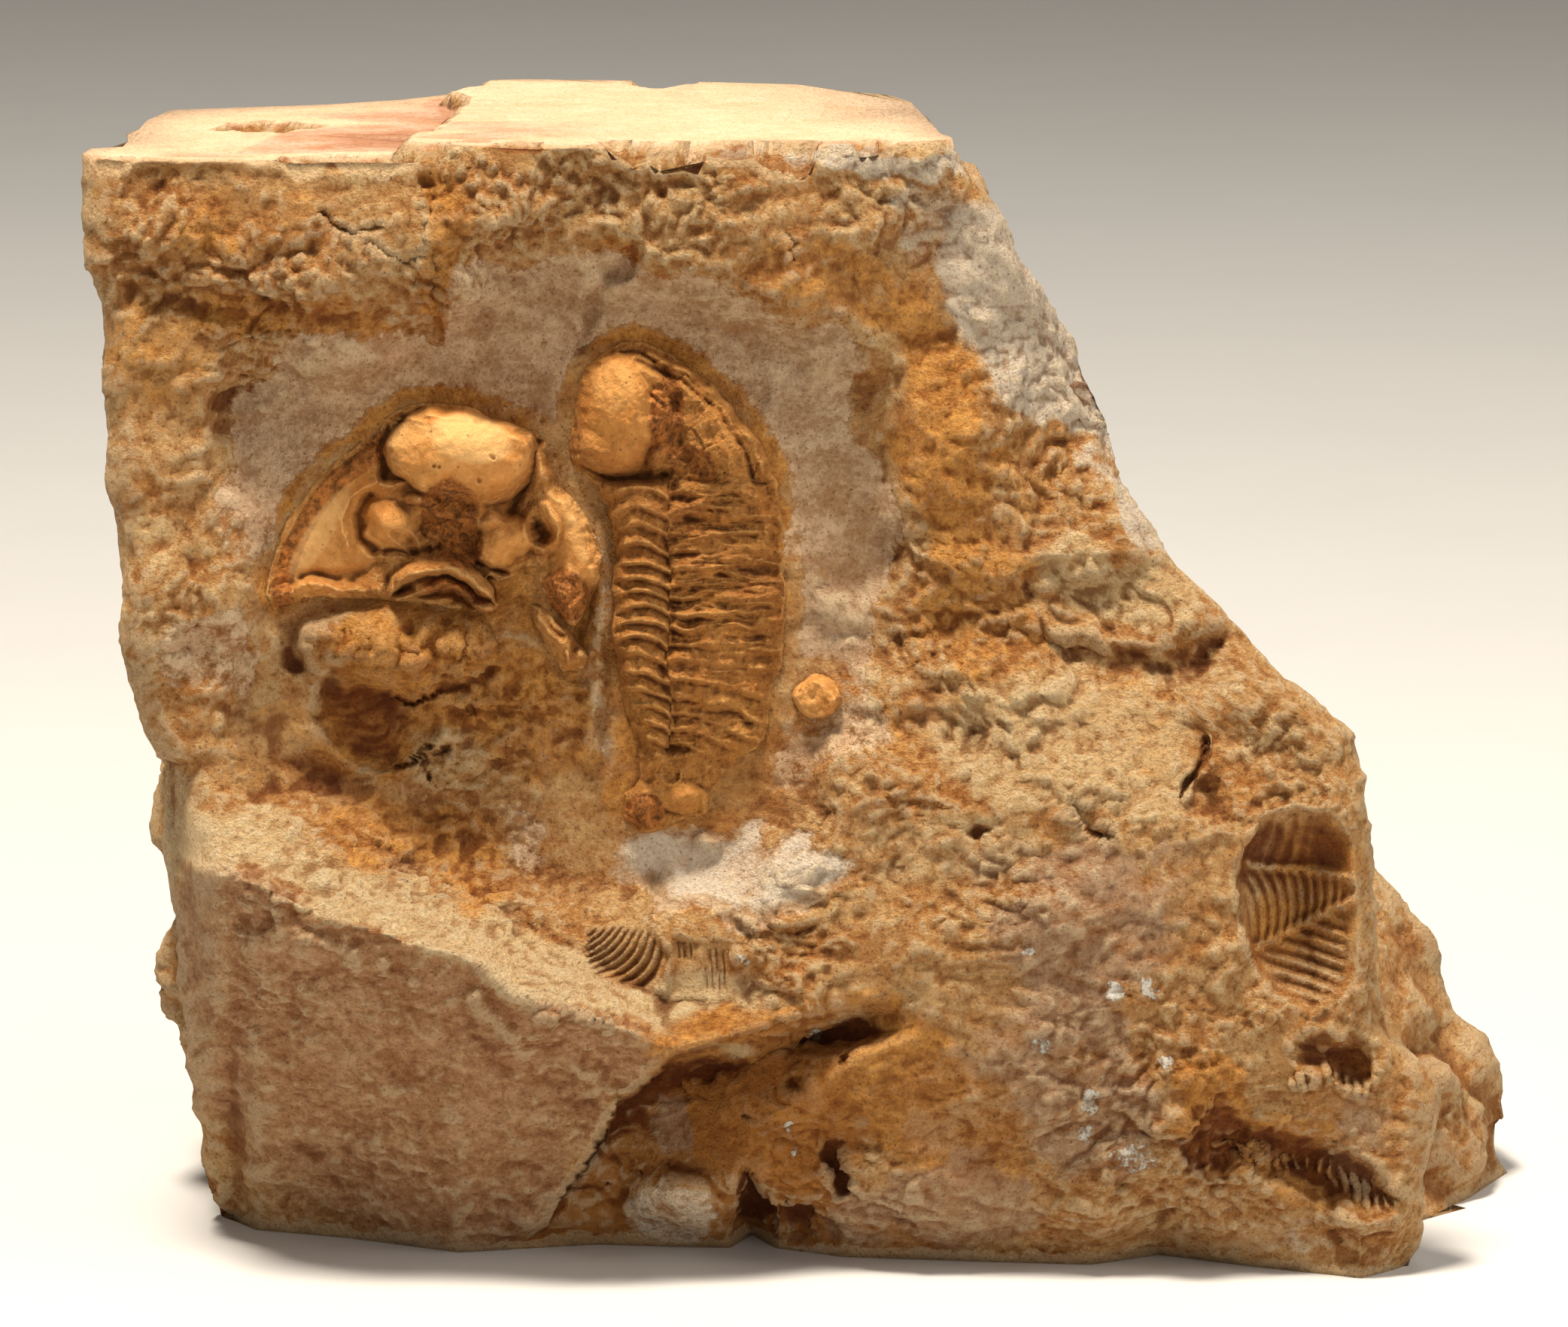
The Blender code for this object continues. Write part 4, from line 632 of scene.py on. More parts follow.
def shell_outline():
    """The small shell's round outline."""
    turns = np.radians(np.arange(0.0, 360.0, SHELL_STEP))
    a = SHELL_MIDDLE[0] + SHELL_RADIUS * np.cos(turns)
    b = SHELL_MIDDLE[1] + SHELL_RADIUS * np.sin(turns)
    return list(zip(a.tolist(), b.tolist()))


def front_relief(a, b):
    """The whole front: its form, the fragments' ribs, the mould's floor, a seat under each fossil."""
    relief = front_form(a, b) + fragment_ribs(a, b)
    inside = depth_inside(a, b, MOULD)
    relief = np.where(inside > 0.0, np.minimum(relief, mould_relief(a, b)), relief)
    for outline in fossil_outlines().values():
        relief = relief - SOCKET_DROP * ease(inside_fossil(a, b, outline), 0.1, 0.9)
    return relief


def sawn_plane(x, y):
    """Height of the sawn top before its chips: two levels with a ragged riser between them."""
    ragged = x - 0.06 * y + 1.6 * crumble(on_plane(x, y), 5.0, 3, 631, 0.2)
    return TOP_LEFT_Z + (TOP_RIGHT_Z - TOP_LEFT_Z) * ease(ragged, TOP_STEP_X - 0.9, TOP_STEP_X + 0.7)


def top_height(x, y):
    """Height of the sawn top with its shallow chips and its broken front edge."""
    height = sawn_plane(x, y)
    place = on_plane(x, y)
    x, y = wander(x, y, 2.6, 1.0, 601)
    chip = 1.5 * lump(x, y, (-47.0, -3.0), (4.6, 4.4), 0.0, 0.7)
    height = height - chip * (1.0 + 0.5 * crumble(place, 1.8, 3, 611))
    broken = ease(y, -24.6, -27.8) * ease(noise(place, 4.6, 621), -0.2, 0.25)
    height = height - broken * (1.5 + 0.9 * crumble(place, 1.6, 2, 625))
    height = height - 1.2 * lump(x, y, (-11.6, 24.0), (3.0, 6.0), 0.0, 0.8)
    return height - 1.4 * lump(x, y, (-4.0, -28.5), (9.0, 2.6), 0.0, 0.6)


def along_path(points, share):
    """Points at each share of the length of a drawn path."""
    path = np.array(points)
    reach = np.concatenate([[0.0], np.cumsum(np.hypot(*np.diff(path, axis=0).T))])
    return np.stack([np.interp(share * reach[-1], reach, path[:, i]) for i in (0, 1)], axis=-1)


def close_lines(count, bands):
    """count + 1 places from 0 to 1: the inverse of the running sum of a density, higher in the bands."""
    t = np.linspace(0.0, 1.0, 2001)
    density = np.ones_like(t)
    for low, high, times in bands:
        density += (times - 1.0) * ease(t, low - 0.02, low) * ease(t, high + 0.02, high)
    run = np.cumsum(density)
    run = (run - run[0]) / (run[-1] - run[0])
    return np.interp(np.linspace(0.0, 1.0, count + 1), run, t)


def split(quads):
    """Two triangles for each quad, without those that have a corner twice."""
    triangles = np.concatenate([quads[:, [0, 1, 2]], quads[:, [0, 2, 3]]])
    twice = (triangles == np.roll(triangles, 1, axis=1)).any(axis=1)
    return triangles[~twice]


def grid_quads(index):
    """Quads between the neighbours of a grid of vertex numbers."""
    return np.stack([index[:-1, :-1], index[:-1, 1:], index[1:, 1:], index[1:, :-1]], axis=-1).reshape(-1, 4)


def block_shell(columns, rows, deep, back_columns):
    """Closed block: each row is a loop of front, right wall, back and left wall; two grids cap it."""
    u = close_lines(columns, CLOSE_COLUMNS)[None, :]
    v = close_lines(rows, CLOSE_ROWS)[:, None]
    b = np.broadcast_to(v * 100.0, (rows + 1, columns + 1))
    for _ in range(4):
        left = at_height(b, LEFT_EDGE)
        a = left + (at_height(b, RIGHT_EDGE) - left) * u
        low = follow(a, BOTTOM_EDGE)
        b = low + (follow(a, TOP_EDGE) - low) * v
    relief = front_relief(a, b)
    relief[0] = floor_relief(b[0])
    front = on_chart(a, b, relief)
    front[-1, :, 2] = top_height(front[-1, :, 0], front[-1, :, 1])

    def wall(top_path, foot_path, steps):
        """Points of one wall: each row's plan lies between the foot's and the top's."""
        share = np.linspace(0.0, 1.0, steps + 1)[None, :]
        top = along_path(top_path, share)
        foot = along_path(foot_path, share)
        plan = foot + (top - foot) * v[..., None]
        rise = np.broadcast_to(v[..., None] * TOP_LEFT_Z, plan.shape[:2] + (1,))
        return np.concatenate([plan, rise], axis=-1)

    right = wall(TOP_RIGHT_WALL, FOOT_RIGHT_WALL, deep)
    back = wall(TOP_BACK, FOOT_BACK, back_columns)
    left = wall(TOP_LEFT_WALL, FOOT_LEFT_WALL, deep)
    inward = np.linspace(0.0, 1.0, deep + 1)[None, :]
    across = np.linspace(0.0, 1.0, back_columns + 1)[None, :]
    left[..., 0] -= LEFT_FOOT_SWELL * ease(v, 0.04, 0.2) * ease(v, 0.5, 0.3)
    right[..., 0] += RIGHT_FOOT_SWELL * ease(v, 0.0, 0.06) * ease(v, 0.5, 0.2) * inward**2
    back[..., 1] += BACK_SWELL * np.sin(np.pi * v) * np.sin(np.pi * across)
    fade = 1.0 - ease(inward, 0.0, 0.3)[..., None]
    right += (front[:, -1:] - right[:, :1]) * fade
    left += (front[:, :1] - left[:, -1:]) * fade[:, ::-1]
    back += (right[:, -1:] - back[:, :1]) * (1.0 - across[..., None])
    back += (left[:, :1] - back[:, -1:]) * across[..., None]
    loops = np.concatenate([front[:, :-1], right[:, :-1], back[:, :-1], left[:, :-1]], axis=1)
    loops[-1, :, 2] = top_height(loops[-1, :, 0], loops[-1, :, 1])
    loops[0, :, 2] = 0.0

    around = loops.shape[1]
    index = np.arange((rows + 1) * around).reshape(rows + 1, around)
    quads = [grid_quads(np.concatenate([index, index[:, :1]], axis=1))]
    points = [loops.reshape(-1, 3)]
    start = (rows + 1) * around
    group = columns // back_columns
    reach = (np.arange(columns + 1) + group // 2) // group
    for row, upward in ((rows, True), (0, False)):
        front_row = index[row, : columns + 1]
        right_row = index[row, columns : columns + deep + 1]
        back_row = index[row, columns + deep : columns + deep + back_columns + 1][::-1]
        left_row = np.append(index[row, columns + deep + back_columns :], index[row, 0])[::-1]
        t = np.linspace(0.0, 1.0, deep + 1)[1:-1, None, None]
        near = loops[row, front_row - row * around][None]
        far = loops[row, back_row - row * around][reach][None]
        inner = (near + (far - near) * t)[:, 1:-1]
        inner[..., 2] = top_height(inner[..., 0], inner[..., 1]) if upward else 0.0
        count = inner.shape[0] * inner.shape[1]
        inside = start + np.arange(count).reshape(inner.shape[:2])
        start += count
        points.append(inner.reshape(-1, 3))
        grid = np.concatenate([left_row[1:-1, None], inside, right_row[1:-1, None]], axis=1)
        grid = np.concatenate([front_row[None], grid, back_row[reach][None]], axis=0)
        cap = grid_quads(grid)
        quads.append(cap if upward else cap[:, ::-1])
    return np.concatenate(points), split(np.concatenate(quads))


def vertex_normals(points, triangles):
    """Unit normals: each triangle's area vector summed over its corners."""
    first, second, third = (points[triangles[:, k]] for k in range(3))
    area = np.cross(second - first, third - first)
    corners = triangles.ravel()
    spread = np.repeat(area, 3, axis=0)
    total = np.stack([np.bincount(corners, spread[:, i], len(points)) for i in range(3)], axis=-1)
    return total / np.maximum(np.linalg.norm(total, axis=1, keepdims=True), 1e-9)


def evened(values, triangles, rounds):
    """Values averaged half and half with the mean of their mesh neighbours, a number of times."""
    one, other = np.concatenate([triangles[:, [0, 1]], triangles[:, [1, 2]], triangles[:, [2, 0]]]).T
    count = np.bincount(one, minlength=len(values))
    for _ in range(rounds):
        values = 0.5 * values + 0.5 * np.bincount(one, values[other], len(values)) / np.maximum(count, 1)
    return values


def calm_ground(a, b):
    """Share of each place that is smooth: on the moulds, the ribbed fragments and close to a fossil."""
    listed = [
        (MOULD, 1.0, -0.2, 0.6), (TAIL_MOULD, 0.7, -0.3, 0.8), (RIBBED_FRAGMENT, 0.85, -0.3, 0.6),
        (AROUND_UPRIGHT, 0.8, -0.3, 0.6),
    ] + [(outline, 0.5, -0.8, 0.0) for outline in fossil_outlines().values()]
    shares = [share * ease(depth_inside(a, b, outline), low, high) for outline, share, low, high in listed]
    return np.max(shares, axis=0)


def coarseness(a, b):
    """How rough the break is on the front: calmer in the basin, on the shelf and on the facet."""
    rough = 1.0 - 0.64 * ease(depth_inside(*wander(a, b, 6.0, 1.6, 261), BASIN), -1.0, 3.5)
    below_crest = ease(follow(a, CREST) - b, -4.0, 1.0) * ease(a, 2.0, -6.0)
    rough = rough * (1.0 - 0.4 * below_crest)
    return (rough + domes(a, b, ROUGH_DOMES)) * (1.0 - calm_ground(a, b))


def weathered(points, triangles):
    """Broken stone: chips, rubble, flakes and grain push each point along its normal."""
    normals = vertex_normals(points, triangles)
    height = points[:, 2]
    sawn = ease(normals[:, 2], 0.75, 0.95) * (height > TOP_LEFT_Z - 2.0)
    back = ease(points[:, 1], -24.0, -8.0)
    a, b = to_chart(points)
    calm = calm_ground(a, b) * (1.0 - back)
    cleared = ease(depth_inside(a, b, BASIN), -1.0, 4.0) * (1.0 - back)
    rough = FINE_CHIP[1] * chips(points * (1.0, 1.0, 1.3), FINE_CHIP[0], 5)
    rough += FINE_RUBBLE[1] * rubble(points, FINE_RUBBLE[0], 2, 21)
    ragged = points + CHIP_BEND * bends(points, 6.0, 191)
    bold = evened(BOLD_CHIP[1] * chips(ragged, BOLD_CHIP[0], 40), triangles, CHIP_ROUNDS)
    bold += BOLD_RUBBLE[1] * rubble(points, BOLD_RUBBLE[0], 2, 60)
    rough = evened(rough, triangles, CHIP_ROUNDS)
    push = rough * (0.3 + 0.7 * back) * (1.0 - 0.75 * cleared) * (1.0 - calm) + bold * back
    bent = points * (0.8, 1.0, 1.25)
    bent = bent + LEDGE_BEND * bends(bent, 4.5, 171)
    fine = LEDGE[1] * ledges(bent, LEDGE[0], 2.6, 101) + CRUMB[1] * crumble(bent, CRUMB[0], 3, 131)
    fine += GRAIN[1] * crumble(points, GRAIN[0], 2, 151, 0.4)
    patchy = 0.55 + 0.8 * ease(noise(points, 9.0, 161), -0.5, 0.7)
    at_side = 0.45 + 0.55 * ease(from_sides(a, b), 0.0, 4.0)
    fine = fine * patchy * (coarseness(a, b) * at_side * (1.0 - back) + 0.7 * back)
    below_top = top_height(points[:, 0], points[:, 1]) - height
    fine = fine * ease(height, 0.0, 1.4) * ease(below_top, 0.1, 1.4)
    push = push * ease(height, 0.0, 4.0) * ease(below_top, 0.0, 3.0) + fine
    push = push * (1.0 - 0.97 * sawn)
    return points + normals * push[:, None]


def ring_phase(a, b):
    """Number of rings passed from the neck down to (a, b): arcs on the axis, falling ribs beside it."""
    order = np.arange(len(RING_CRESTS), dtype=float)
    bow = 0.8 * np.clip(np.abs(a - AXIS_A) / 2.6, 0.0, 1.3) ** 2
    tail = ease(b, 57.0, 45.0)
    sweep = (0.05 + 0.42 * tail) * np.clip(a + 9.0, 0.0, 9.0)
    lean = np.where(a < FURROW_A, bow, 0.55 + sweep)
    return np.interp(-(b + lean), -np.array(RING_CRESTS), order)


def ring_profile(phase):
    """Thin crest at each whole number, a sharp drop under it and a slow rise to the next."""
    t = phase - np.floor(phase)
    return np.where(t < 0.3, 1.0 - ease(t, 0.02, 0.3), np.clip((t - 0.3) / 0.7, 0.0, 1.0) ** 1.2)


def on_seat(a, b, outline, form, width):
    """A fossil's form on the stone: it rises from the stone's relief within a width inside the outline."""
    inside = inside_fossil(a, b, outline) + 0.5 * crumble(on_plane(a, b), 1.6, 2, 291, 0.2)
    edge = 0.3 * crumble(on_plane(a, b), 1.2, 2, 295) * ease(inside, 2.0, 0.2)
    return front_form(a, b) + 0.15 + edge + form * ease(inside, -0.3, width) ** 0.6


def trilobite_relief(a, b):
    """Relief of the centre trilobite: ringed axis, ragged flank, round head lobe, broken cheek and tail."""
    place = on_plane(a, b)
    outline = fossil_outlines()["centre_trilobite"]
    chart = (a, b)
    a, b = wander(a, b, 2.2, 0.22, 301)
    right = at_height(b, TRILOBITE_RIGHT)
    axis = 3.3 * np.sqrt(np.clip(1.0 - ((a - AXIS_A) / AXIS_HALF_WIDTH) ** 2, 0.0, 1.0))
    flank = 2.7 * np.clip((right - a) / 8.5, 0.0, 1.0) ** 0.6
    body = merge(axis, flank, 0.4) * (0.5 + 0.5 * ease(b, 41.0, 54.0))
    ringed = ease(b, 45.5, 47.0) * ease(b, 72.0, 70.8)
    broken = ease(noise(place, 2.4, 305), -0.1, 0.5)
    rings = ring_profile(ring_phase(a, b)) - 0.55
    on_axis = ease(a, -9.9, -10.8)
    rear = ease(b, 59.0, 54.0)
    inner = (1.0 - on_axis) * ease(a, -7.0, -8.0)
    body = body + rings * ringed * (on_axis * (0.95 - 0.35 * broken) + inner * (0.75 - 0.3 * broken))
    outer = 1.0 - on_axis - inner
    body = body + rings * ringed * outer * (0.12 + 0.6 * rear) * (1.0 - 0.5 * broken)
    furrow = ease(np.abs(a - FURROW_A - 0.5 * noise(place, 1.5, 309)), 0.8, 0.0)
    body = body - 0.45 * (1.0 - 0.7 * broken) * furrow * ringed
    ragged = ease(a, -11.0, -8.5) * ringed + 0.7 * ease(b, 49.0, 46.0)
    flaky = crumble(on_plane(*wander(0.3 * a, 1.3 * b, 1.5, 0.3, 313)), 1.5, 3, 311, 0.9)
    body = body - 0.6 * flaky * ragged * (1.0 - 0.6 * rear)
    shards = crumble(place * (0.8, 1.2, 1.0), 1.5, 3, 325) * ease(np.abs(a + 9.0), 2.0, 0.6) * ringed
    body = body - 0.4 * shards
    body = body - 0.35 * crumble(place, 1.6, 3, 327) * ease(b, 50.0, 47.0)

    neck = ease(b, 70.2, 71.6)
    glabella = 5.2 * lump(a, b, (-14.0, 77.2), (4.6, 5.0), 0.0, 0.55)
    glabella = merge(glabella, 4.4 * lump(a, b, (-15.1, 73.9), (3.5, 3.0), -10.0, 0.6))
    missing = [(-12.6, 80.2), (-9.6, 79.2), (-8.6, 74.2), (-10.9, 72.4), (-12.4, 75.6)]
    gone = ease(depth_inside(a, b, missing), -0.4, 0.9)
    glabella = glabella - gone * (0.6 + 0.6 * crumble(place, 1.8, 3, 331))
    cheek = 3.0 * lump(a, b, (-7.6, 74.8), (6.6, 7.6), 38.0, 0.5)
    cheek = cheek - (0.4 * crumble(place, 2.6, 4, 337) - 0.5 * chips(place, 2.6, 341)) * ease(cheek, 0.2, 1.0)
    cheek = cheek - 1.3 * lump(a, b, (-7.4, 71.4), (2.8, 1.9), -10.0, 0.7)
    knob = 3.4 * lump(a, b, (-11.0, 73.0), (1.6, 1.2), 40.0, 0.6)
    left_lobe = 2.7 * lump(a, b, (-17.6, 73.3), (1.3, 1.9), 25.0, 0.7)
    head = merge(merge(glabella, cheek), merge(knob, left_lobe))
    head = head + groove(a, b, [(-10.2, 80.9), (-9.6, 78.0), (-9.2, 75.0), (-8.8, 72.8)], 1.8, 0.9)
    border = [(-11.9, 82.0), (-8.6, 80.6), (-5.0, 77.6), (-2.6, 74.2), (-1.3, 70.6)]
    head = head + ridge(a, b, border, 1.1, 0.9)
    head = head + groove(a, b, np.add(border, (-0.9, -0.7)).tolist(), 1.0, 0.7)
    head = head + groove(a, b, [(-12.0, 78.6), (-11.4, 77.8), (-10.4, 77.0)], 0.7, 0.3)
    form = body * (1.0 - neck) + head * neck
    form = form + groove(a, b, [(-17.8, 72.0), (-16.4, 71.1), (-13.4, 70.7), (-10.4, 71.3)], 1.7, 1.5)

    tail = 1.9 * lump(a, b, (-9.0, 42.6), (2.6, 1.6), 0.0, 0.6)
    loose = 2.8 * lump(a, b, (-12.5, 41.6), (1.8, 1.7), 20.0, 0.6) - 0.4 * crumble(place, 1.6, 3, 345)
    cup = 2.2 * lump(a, b, (-10.0, 44.5), (1.3, 1.4), 0.0, 0.5)
    cup = cup - 1.8 * lump(a, b, (-9.8, 44.7), (0.85, 0.95), 0.0, 0.5)
    form = merge(form, merge(tail, merge(loose, cup)), 0.2)
    form = form + 0.5 * crumble(place, 1.4, 3, 349) * patches(a, b, BROWN_SPOTS)
    bevel = line_distance(a, b, [(-15.0, 52.2), (-13.6, 48.8), (-12.2, 45.6)])
    form = form + (1.7 - form) * ease(bevel, 1.0, 0.5)
    form = form + 0.4 * crumble(place, 3.2, 4, 347, 0.3) + 0.14 * crumble(place, 0.8, 2, 351, 0.4)
    return on_seat(*chart, outline, form, 1.4)


def head_relief(a, b):
    """Relief of the left head: brown rim, smooth cheeks, eye lobes, wide forehead and arched neck ring."""
    place = on_plane(a, b)
    chart = (a, b)
    a, b = wander(*wander(a, b, 3.2, 0.4, 401), 1.0, 0.09, 403)
    rim_in = line_distance(a, b, HEAD_BORDER[:RIM_CORNERS])
    plate = 1.5 + 2.0 * lump(a, b, (-35.5, 66.0), (9.5, 9.0), -30.0, 0.7) * ease(a, -20.0, -26.0)
    plate = plate + 0.45 * (1.0 - ease(np.abs(rim_in - 0.35), 0.1, 0.5))
    plate = plate + 0.3 * (1.0 - ease(np.abs(rim_in - 1.2), 0.2, 0.8))
    plate = plate - 0.55 * (1.0 - ease(np.abs(rim_in - 2.15), 0.0, 0.6))
    cheek_line = [(-43.4, 62.6), (-41.6, 66.6), (-38.6, 70.2), (-36.0, 72.0)]
    cheek = 3.4 * (1.0 - ease(line_distance(a, b, cheek_line), 0.0, 4.6)) ** 0.8
    forehead = 6.6 * lump(a, b, (-28.5, 73.0), (6.7, 4.5), -5.0, 0.5, 2.1)
    brow = 5.2 * lump(a, b, (-29.0, 69.2), (5.4, 5.6), 0.0, 0.6)
    eye_line = [(-38.6, 64.8), (-39.2, 67.0), (-38.3, 69.3), (-36.2, 70.6), (-33.8, 70.4)]
    eye_rim = 4.2 * (1.0 - ease(line_distance(a, b, eye_line), -0.6, 2.0))
    left_eye = 5.0 * lump(a, b, (-35.0, 66.9), (2.7, 2.0), -55.0, 0.55)
    right_lobe = 5.1 * lump(a, b, (-25.2, 65.4), (2.3, 2.9), -30.0, 0.55)
    right_knob = 4.5 * lump(a, b, (-25.9, 67.3), (1.5, 1.1), -10.0, 0.6)
    side_line = [(-22.4, 72.4), (-20.4, 69.4), (-18.7, 66.4), (-18.0, 63.0), (-18.6, 60.2), (-18.9, 58.6)]
    side = 3.7 * (1.0 - ease(line_distance(a, b, side_line), 0.0, 2.9)) ** 0.6
    arch = 63.1 - 0.115 * (a + 31.0) ** 2
    span = ease(np.abs(a + 30.6), 5.6, 4.4)
    neck_ring = 4.7 * span * ease(b - arch, 1.6, -0.1) ** 0.8 * ease(b - arch, -0.9, -0.1)
    second_ring = 3.4 * span * ease(b - arch, -0.3, -1.6) * ease(b - arch, -2.3, -1.6)
    strip_line = [(-45.0, 60.2), (-42.5, 61.2), (-38.5, 61.2), (-36.0, 60.9)]
    strip = 2.4 * (1.0 - ease(line_distance(a, b, strip_line), -0.4, 1.7)) + 0.4 * crumble(place, 1.2, 2, 407)
    form = plate
    for part in (cheek, brow, eye_rim, left_eye, right_lobe, right_knob, side, neck_ring, second_ring, strip):
        form = merge(form, part, 0.6)
    form = merge(form, forehead, 0.2) + domes(a, b, HEAD_DOMES) + grooves(a, b, HEAD_GROOVES)
    ring = np.hypot((a + 21.7) / 1.5, (b - 66.5) / 1.9)
    form += 0.8 * (1.0 - ease(np.abs(ring - 1.0), 0.0, 0.35)) - 0.9 * ease(ring, 0.9, 0.3)
    eroded = ease(depth_inside(a, b, BROW_GAP), -0.3, 0.8)
    form -= 1.1 * eroded
    eroded = np.maximum(eroded, ease(lump(a, b, (-19.3, 60.4), (2.3, 2.6), 20.0), 0.0, 0.5))
    eroded = np.maximum(eroded, 0.75 * ease(ring, 1.0, 0.7))
    eroded = np.maximum(eroded, 0.45 * ease(rim_in, 1.9, 1.2))
    eroded = np.maximum(eroded, 0.5 * ease(b, 62.0, 60.6) * ease(a, -34.0, -36.0))
    form += 1.0 * crumble(place, 1.7, 4, 405) * eroded
    for pit in ((-31.2, 72.1), (-30.7, 72.0), (-25.8, 72.8), (-27.0, 70.6)):
        form -= 0.35 * lump(a, b, pit, (0.26, 0.26), 0.0, 0.6)
    layers = ease(b, 75.2, 76.0) * ease(b, 77.6, 77.0)
    form += 0.12 * layers * ribs(b - 0.03 * (a + 29.0) ** 2, 0.7)
    form += 0.22 * crumble(place, 3.0, 3, 415, 0.0) + 0.07 * crumble(place, 0.8, 2, 421, 0.4)
    return on_seat(*chart, HEAD_BORDER, form, 1.0)


def fragment_relief(a, b):
    """Relief of the spine fragment: a round bar with a pale ledge and a groove along its upper edge."""
    chart = (a, b)
    a, b = wander(a, b, 1.6, 0.15, 425)
    inside = depth_inside(a, b, CHEEK_FRAGMENT)
    bar = 2.3 * np.sqrt(np.clip(inside / 1.0, 0.0, 1.0))
    inner_line = [(-22.0, 59.8), (-20.9, 59.0), (-20.2, 57.9), (-19.2, 57.3)]
    bar += ridge(a, b, inner_line, 0.5, 0.4)
    bar += groove(a, b, np.add(inner_line, (-0.3, -0.5)).tolist(), 0.7, 0.6)
    bar += 0.6 * lump(a, b, (-17.9, 55.5), (0.6, 0.6), 0.0, 0.6)
    form = bar + 0.14 * rubble(on_plane(a, b), 0.9, 3, 431)
    return on_seat(*chart, CHEEK_FRAGMENT, form, 0.5)


def shell_relief(a, b):
    """Relief of the small shell: a flat dome crossed by arc-shaped cracks."""
    form = 1.0 + 0.9 * lump(a, b, SHELL_MIDDLE, (2.6, 2.6), 0.0, 1.0)
    form += groove(a, b, [(2.2, 53.6), (1.6, 52.9), (1.4, 52.0)], 0.4, 0.5)
    form += groove(a, b, [(1.5, 50.2), (2.8, 49.6), (4.0, 49.9)], 0.4, 0.5)
    form += 0.2 * rubble(on_plane(a, b), 1.2, 3, 441)
    return on_seat(a, b, shell_outline(), form, 0.5)


def fossil_shell(outline, relief, spacing):
    """Closed fossil: a chart grid kept inside its outline, a flat bed behind it, and sides round both."""
    low = np.min(outline, axis=0) - SKIRT_WIDTH - 2.0 * spacing
    high = np.max(outline, axis=0) + SKIRT_WIDTH + 2.0 * spacing
    steps = np.ceil((high - low) / spacing).astype(int)
    a, b = np.meshgrid(np.linspace(low[0], high[0], steps[0]), np.linspace(low[1], high[1], steps[1]))
    inside = inside_fossil(a, b, outline)
    height = relief(a, b) - SKIRT_DROP * ease(inside, 0.0, -SKIRT_WIDTH)
    front = on_chart(a, b, height).reshape(-1, 3)
    rear = on_chart(a, b, np.full_like(a, FOSSIL_BED)).reshape(-1, 3)
    quads = grid_quads(np.arange(a.size).reshape(a.shape))
    quads = quads[(inside.ravel()[quads] > -SKIRT_WIDTH).all(axis=1)]
    edges = np.concatenate([quads[:, [k, (k + 1) % 4]] for k in range(4)])
    forth = edges[:, 0] * a.size + edges[:, 1]
    rim = edges[~np.isin(forth, edges[:, 1] * a.size + edges[:, 0])]
    sides = np.stack([rim[:, 1], rim[:, 0], rim[:, 0] + a.size, rim[:, 1] + a.size], axis=-1)
    faces = np.concatenate([quads, quads[:, ::-1] + a.size, sides])
    used, compact = np.unique(faces, return_inverse=True)
    return np.concatenate([front, rear])[used], split(compact.reshape(faces.shape))


def make_piece(name, points, triangles):
    """An object at the origin whose mesh holds the points in metres, in the frame's place."""
    mesh = bpy.data.meshes.new(name)
    mesh.vertices.add(len(points))
    mesh.vertices.foreach_set("co", ((points + (*CENTRE_SHIFT, 0.0)) * MM).astype(np.float32).ravel())
    mesh.loops.add(triangles.size)
    mesh.loops.foreach_set("vertex_index", triangles.astype(np.int32).ravel())
    mesh.polygons.add(len(triangles))
    mesh.polygons.foreach_set("loop_start", np.arange(0, triangles.size, 3, dtype=np.int32))
    mesh.update(calc_edges=True)
    piece = bpy.data.objects.new(name, mesh)
    bpy.context.scene.collection.objects.link(piece)
    return piece


def thinned(piece, triangles):
    """The piece with its mesh collapsed to about this many triangles, most where it is most curved."""
    fewer = piece.modifiers.new("fewer", "DECIMATE")
    fewer.ratio = min(1.0, triangles / len(piece.data.polygons))
    bpy.context.view_layer.update()
    ready = piece.evaluated_get(bpy.context.evaluated_depsgraph_get())
    mesh = bpy.data.meshes.new_from_object(ready)
    piece.modifiers.clear()
    piece.data = mesh
    return piece


def seated(piece):
    """The piece with no point under the floor."""
    flat = np.empty(len(piece.data.vertices) * 3, dtype=np.float32)
    piece.data.vertices.foreach_get("co", flat)
    flat[2::3] = np.maximum(flat[2::3], 0.0)
    piece.data.vertices.foreach_set("co", flat)
    piece.data.update()
    return piece


def mesh_points(mesh):
    """The mesh's points in millimetres, in the block's own place."""
    flat = np.empty(len(mesh.vertices) * 3, dtype=np.float32)
    mesh.vertices.foreach_get("co", flat)
    return flat.reshape(-1, 3).astype(float) / MM - (*CENTRE_SHIFT, 0.0)


def set_field(mesh, name, values):
    """A number for each vertex, for the finishes to read."""
    field = mesh.attributes.new(name, "FLOAT", "POINT")
    field.data.foreach_set("value", values.astype(np.float32))


